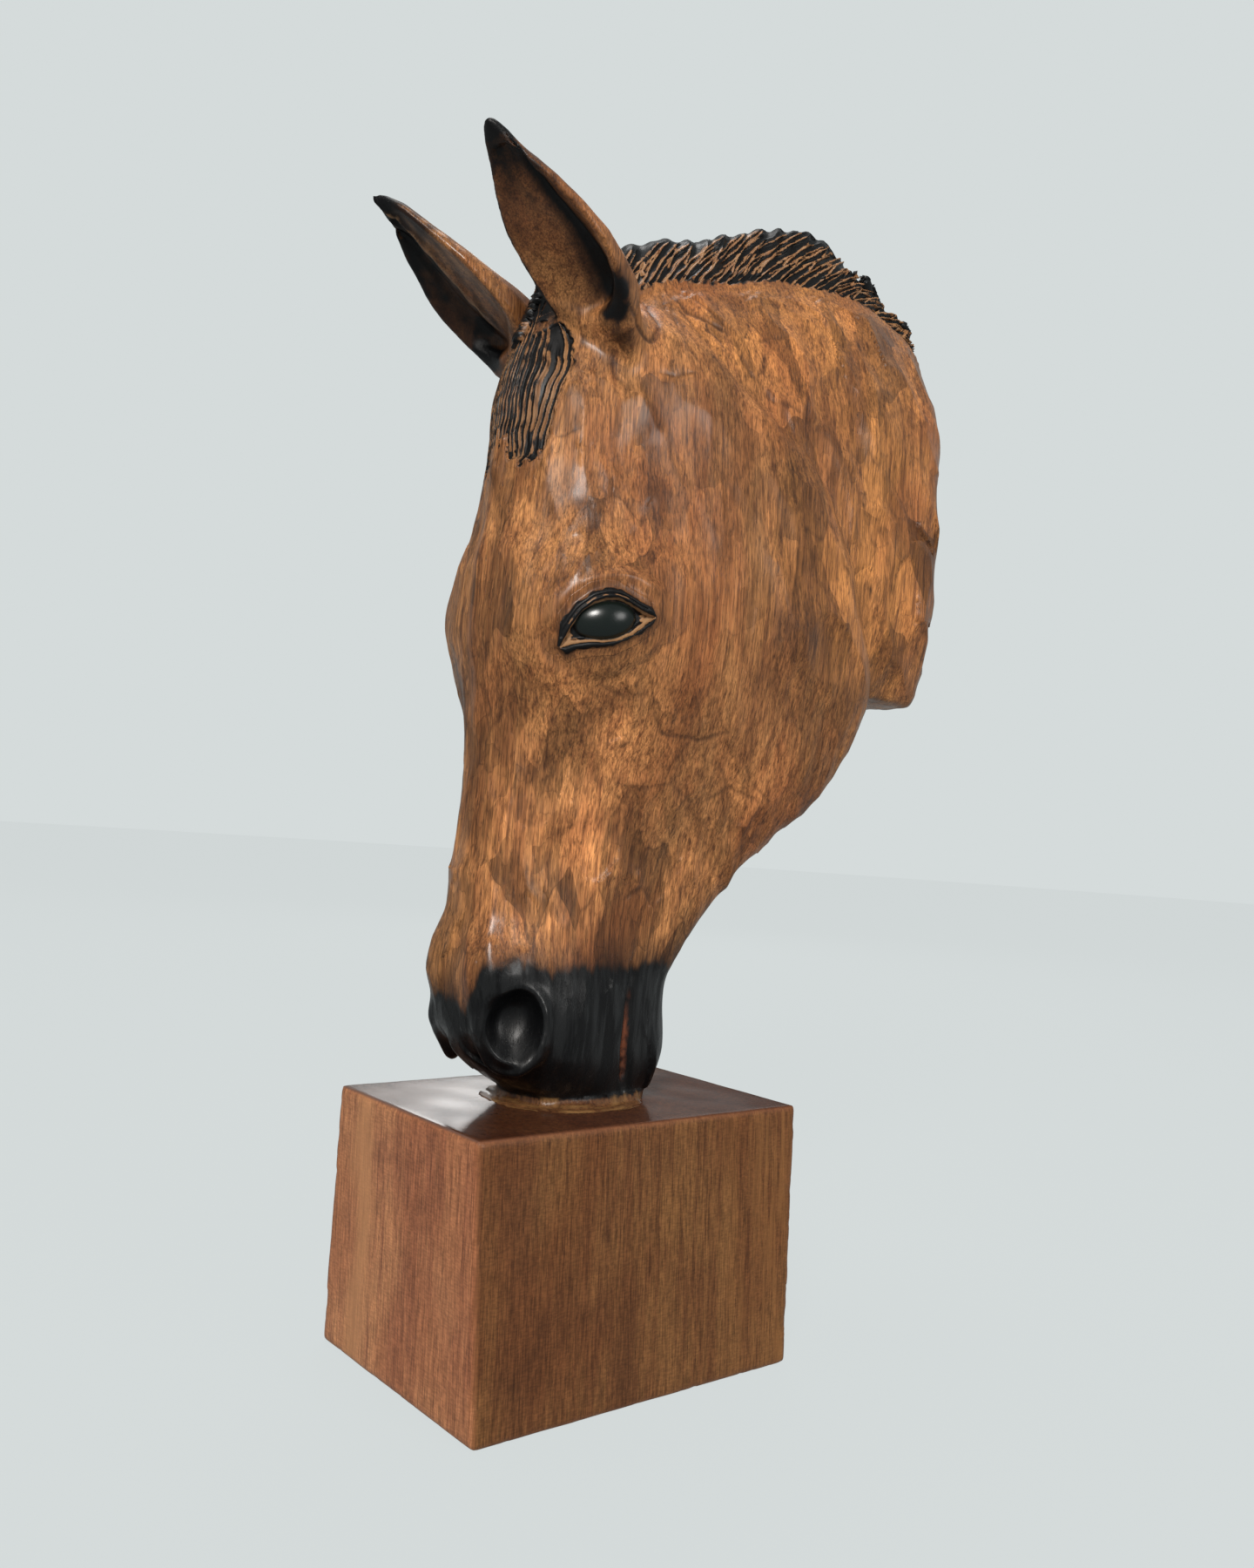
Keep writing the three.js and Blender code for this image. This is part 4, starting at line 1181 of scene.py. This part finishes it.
headWood = {
    "light": (0.31, 0.137, 0.048, 1), "mid": (0.172, 0.066, 0.023, 1), "warm": (0.180, 0.055, 0.017, 1),
    "deep": (0.040, 0.014, 0.006, 1), "scorch": (0.0020, 0.0021, 0.0025, 1),
    "smoke": (0.020, 0.008, 0.0045, 1), "bare": (0.29, 0.165, 0.082, 1), "red": (0.15, 0.042, 0.017, 1),
    "ball": (0.0025, 0.0055, 0.0045, 1), "neckLight": (0.33, 0.136, 0.040, 1),
    "ledge": (0.20, 0.105, 0.038, 1), "faceFacets": (84, 84, 30), "neckFacets": (44, 44, 26),
    "chipFacets": (210, 210, 80),
    "masks": ("black", "dark", "bare", "red", "cavity", "facet", "ball", "nape", "glow", "plain", "varnishAndPaintedLight",
              "muzzle"),
}


def carvedWood(v):
    material = bpy.data.materials.new("varnishedCarving")
    material.use_nodes = True
    tree = material.node_tree
    shader = tree.nodes["Principled BSDF"]
    where = node(tree, "TexCoord").outputs["Object"]
    masks = {name: mask(tree, name) for name in v["masks"]}
    light = mixColour(tree, masks["nape"], v["light"], v["neckLight"])
    made = placeGrain(tree, where, (light, v["mid"], v["warm"], v["deep"]), 0.0, 1.0)
    face, neck = placeFacets(tree, where, v["faceFacets"]), placeFacets(tree, where, v["neckFacets"])
    chip = placeFacets(tree, where, v["chipFacets"])
    tone, height, line = (between(tree, masks["nape"], a, b) for a, b in zip(face, neck))
    tone = plus(tree, tone, times(tree, minus(tree, chip[0], 0.5), 0.4))
    height = plus(tree, height, times(tree, chip[1], 0.3))
    line = maths(tree, "MAXIMUM", line, times(tree, chip[2], 0.6))
    toning = between(tree, masks["plain"], 1.0, remap(tree, tone, 0.0, 1.0, (0.64, 1.40)))
    toning = times(tree, toning, remap(tree, masks["facet"], -1, 1, (0.85, 1.15)))
    # Varnish patches, with painted highlight and painted shade among them
    toning = times(tree, toning, plus(tree, 1.0, masks["varnishAndPaintedLight"]))
    colour = mixColour(tree, 1.0, made.outputs["Color"], toning, "MULTIPLY")
    line = times(tree, line, times(tree, masks["plain"], 0.5))
    colour = mixColour(tree, line, colour, v["deep"])
    colour = mixColour(tree, times(tree, masks["cavity"], 0.85), colour, v["smoke"])
    colour = mixColour(tree, masks["dark"], colour, v["smoke"])
    colour = mixColour(tree, masks["bare"], colour, v["bare"])
    streaks = noise(tree, where, (300, 300, 24), 3, 0.6)
    burn = plus(tree, masks["black"], times(tree, minus(tree, streaks, 0.5), 0.6))
    burn = times(tree, remap(tree, burn, 0.2, 0.8), remap(tree, masks["black"], 0.02, 0.2))
    colour = mixColour(tree, burn, colour, v["scorch"])
    colour = mixColour(tree, times(tree, masks["red"], 0.8), colour, v["red"])
    colour = mixColour(tree, masks["ball"], colour, v["ball"])
    colour = mixColour(tree, masks["glow"], colour, v["ledge"])
    tree.links.new(colour, shader.inputs["Base Color"])
    sheen = noise(tree, where, (34, 34, 20), 3, 0.6)
    rough = remap(tree, sheen, 0.3, 0.7, (0.30, 0.52))
    rough = minus(tree, rough, times(tree, masks["ball"], 0.16))
    tree.links.new(rough, shader.inputs["Roughness"])
    coat = remap(tree, sheen, 0.35, 0.65, (0.25, 0.05))
    coat = times(tree, coat, remap(tree, masks["black"], 0.2, 0.9, (1.0, 0.3)))
    coat = times(tree, coat, remap(tree, masks["dark"], 0.2, 0.9, (1.0, 0.4)))
    wet = times(tree, masks["muzzle"], remap(tree, streaks, 0.42, 0.62, (0.05, 0.55)))
    coat = maths(tree, "MAXIMUM", coat, wet)
    coat = maths(tree, "MAXIMUM", coat, times(tree, masks["ball"], 0.4))
    tree.links.new(coat, shader.inputs["Coat Weight"])
    shader.inputs["Coat Roughness"].default_value = 0.24
    shader.inputs["Specular IOR Level"].default_value = 0.2
    calm = minus(tree, 1.0, masks["ball"])
    fine = times(tree, times(tree, made.outputs["Height"], calm), 0.13)
    height = plus(tree, fine, times(tree, height, masks["plain"]))
    bump = node(tree, "Bump", None, Strength=1.0, Distance=0.0012, Height=height)
    tree.links.new(bump.outputs[0], shader.inputs["Normal"])
    return material


# The side faces' tint is partly their own darker stain, partly painted shade
blockWood = {
    "light": (0.43, 0.187, 0.083, 1), "mid": (0.30, 0.114, 0.054, 1), "warm": (0.28, 0.093, 0.042, 1),
    "deep": (0.085, 0.030, 0.015, 1), "sideStainAndShade": (0.37, 0.375, 0.29, 1), "topTint": (0.17, 0.13, 0.10, 1),
    "stripe": (0.47, 0.22, 0.095, 1), "stripeAt": 0.032, "wornTint": (0.27, 0.105, 0.05, 1),
    "golden": (0.25, 0.11, 0.036, 1),
}


def plinthWood(v):
    material = bpy.data.materials.new("varnishedBlock")
    material.use_nodes = True
    tree = material.node_tree
    shader = tree.nodes["Principled BSDF"]
    where = node(tree, "TexCoord").outputs["Object"]
    made = placeGrain(tree, where, (v["light"], v["mid"], v["warm"], v["deep"]), 0.14, 0.75)
    place = node(tree, "SeparateXYZ", None, Vector=where)
    drift = noise(tree, where, (22, 22, 12), 3, 0.55, 0.8)
    drift = times(tree, minus(tree, drift, 0.5), 0.05)
    across = plus(tree, plus(tree, place.outputs["X"], v["stripeAt"]), drift)
    stripe = remap(tree, maths(tree, "ABSOLUTE", across), 0.0, 0.013, (0.65, 0))
    side, top = mask(tree, "sideFace"), mask(tree, "topFace")
    front = minus(tree, 1.0, side)
    colour = mixColour(tree, times(tree, stripe, front), made.outputs["Color"], v["stripe"])
    # Side faces darkened: partly their own darker stain, partly painted shade
    sideStainedShadedColour = mixColour(tree, 1.0, colour, v["sideStainAndShade"], "MULTIPLY")
    colour = mixColour(tree, side, colour, sideStainedShadedColour)
    golden = times(tree, remap(tree, place.outputs["Y"], 0.02, 0.07, (0, 0.45)), side)
    strips = remap(tree, noise(tree, where, (260, 260, 5), 3, 0.6, 0.4), 0.45, 0.6)
    colour = mixColour(tree, times(tree, golden, strips), colour, v["golden"])
    topColour = mixColour(tree, 1.0, colour, v["topTint"], "MULTIPLY")
    colour = mixColour(tree, top, colour, topColour)
    colour = mixColour(tree, times(tree, mask(tree, "wearAndEdgeHighlight"), 0.5), colour, v["wornTint"])
    tree.links.new(colour, shader.inputs["Base Color"])
    sheen = noise(tree, where, (30, 30, 30), 3, 0.6)
    matt = times(tree, top, minus(tree, 1.0, mask(tree, "gloss")))
    rough = plus(tree, remap(tree, sheen, 0.3, 0.7, (0.36, 0.5)), times(tree, matt, 0.4))
    tree.links.new(rough, shader.inputs["Roughness"])
    shine = times(tree, top, mask(tree, "gloss"))
    tree.links.new(remap(tree, shine, 0, 1, (0.06, 0.85)), shader.inputs["Coat Weight"])
    shader.inputs["Coat Roughness"].default_value = 0.16
    shader.inputs["Specular IOR Level"].default_value = 0.15
    bump = node(tree, "Bump", None, Strength=0.4, Distance=0.00025, Height=made.outputs["Height"])
    tree.links.new(bump.outputs[0], shader.inputs["Normal"])
    return material


carving = carvedWood(headWood)
for piece, material in [(piece, carving) for piece in pieces] + [(block, plinthWood(blockWood))]:
    piece.data.materials.clear()
    piece.data.materials.append(material)
    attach(piece, "root")
    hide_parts("horse_head_carving")
print("stage: wood and varnish")
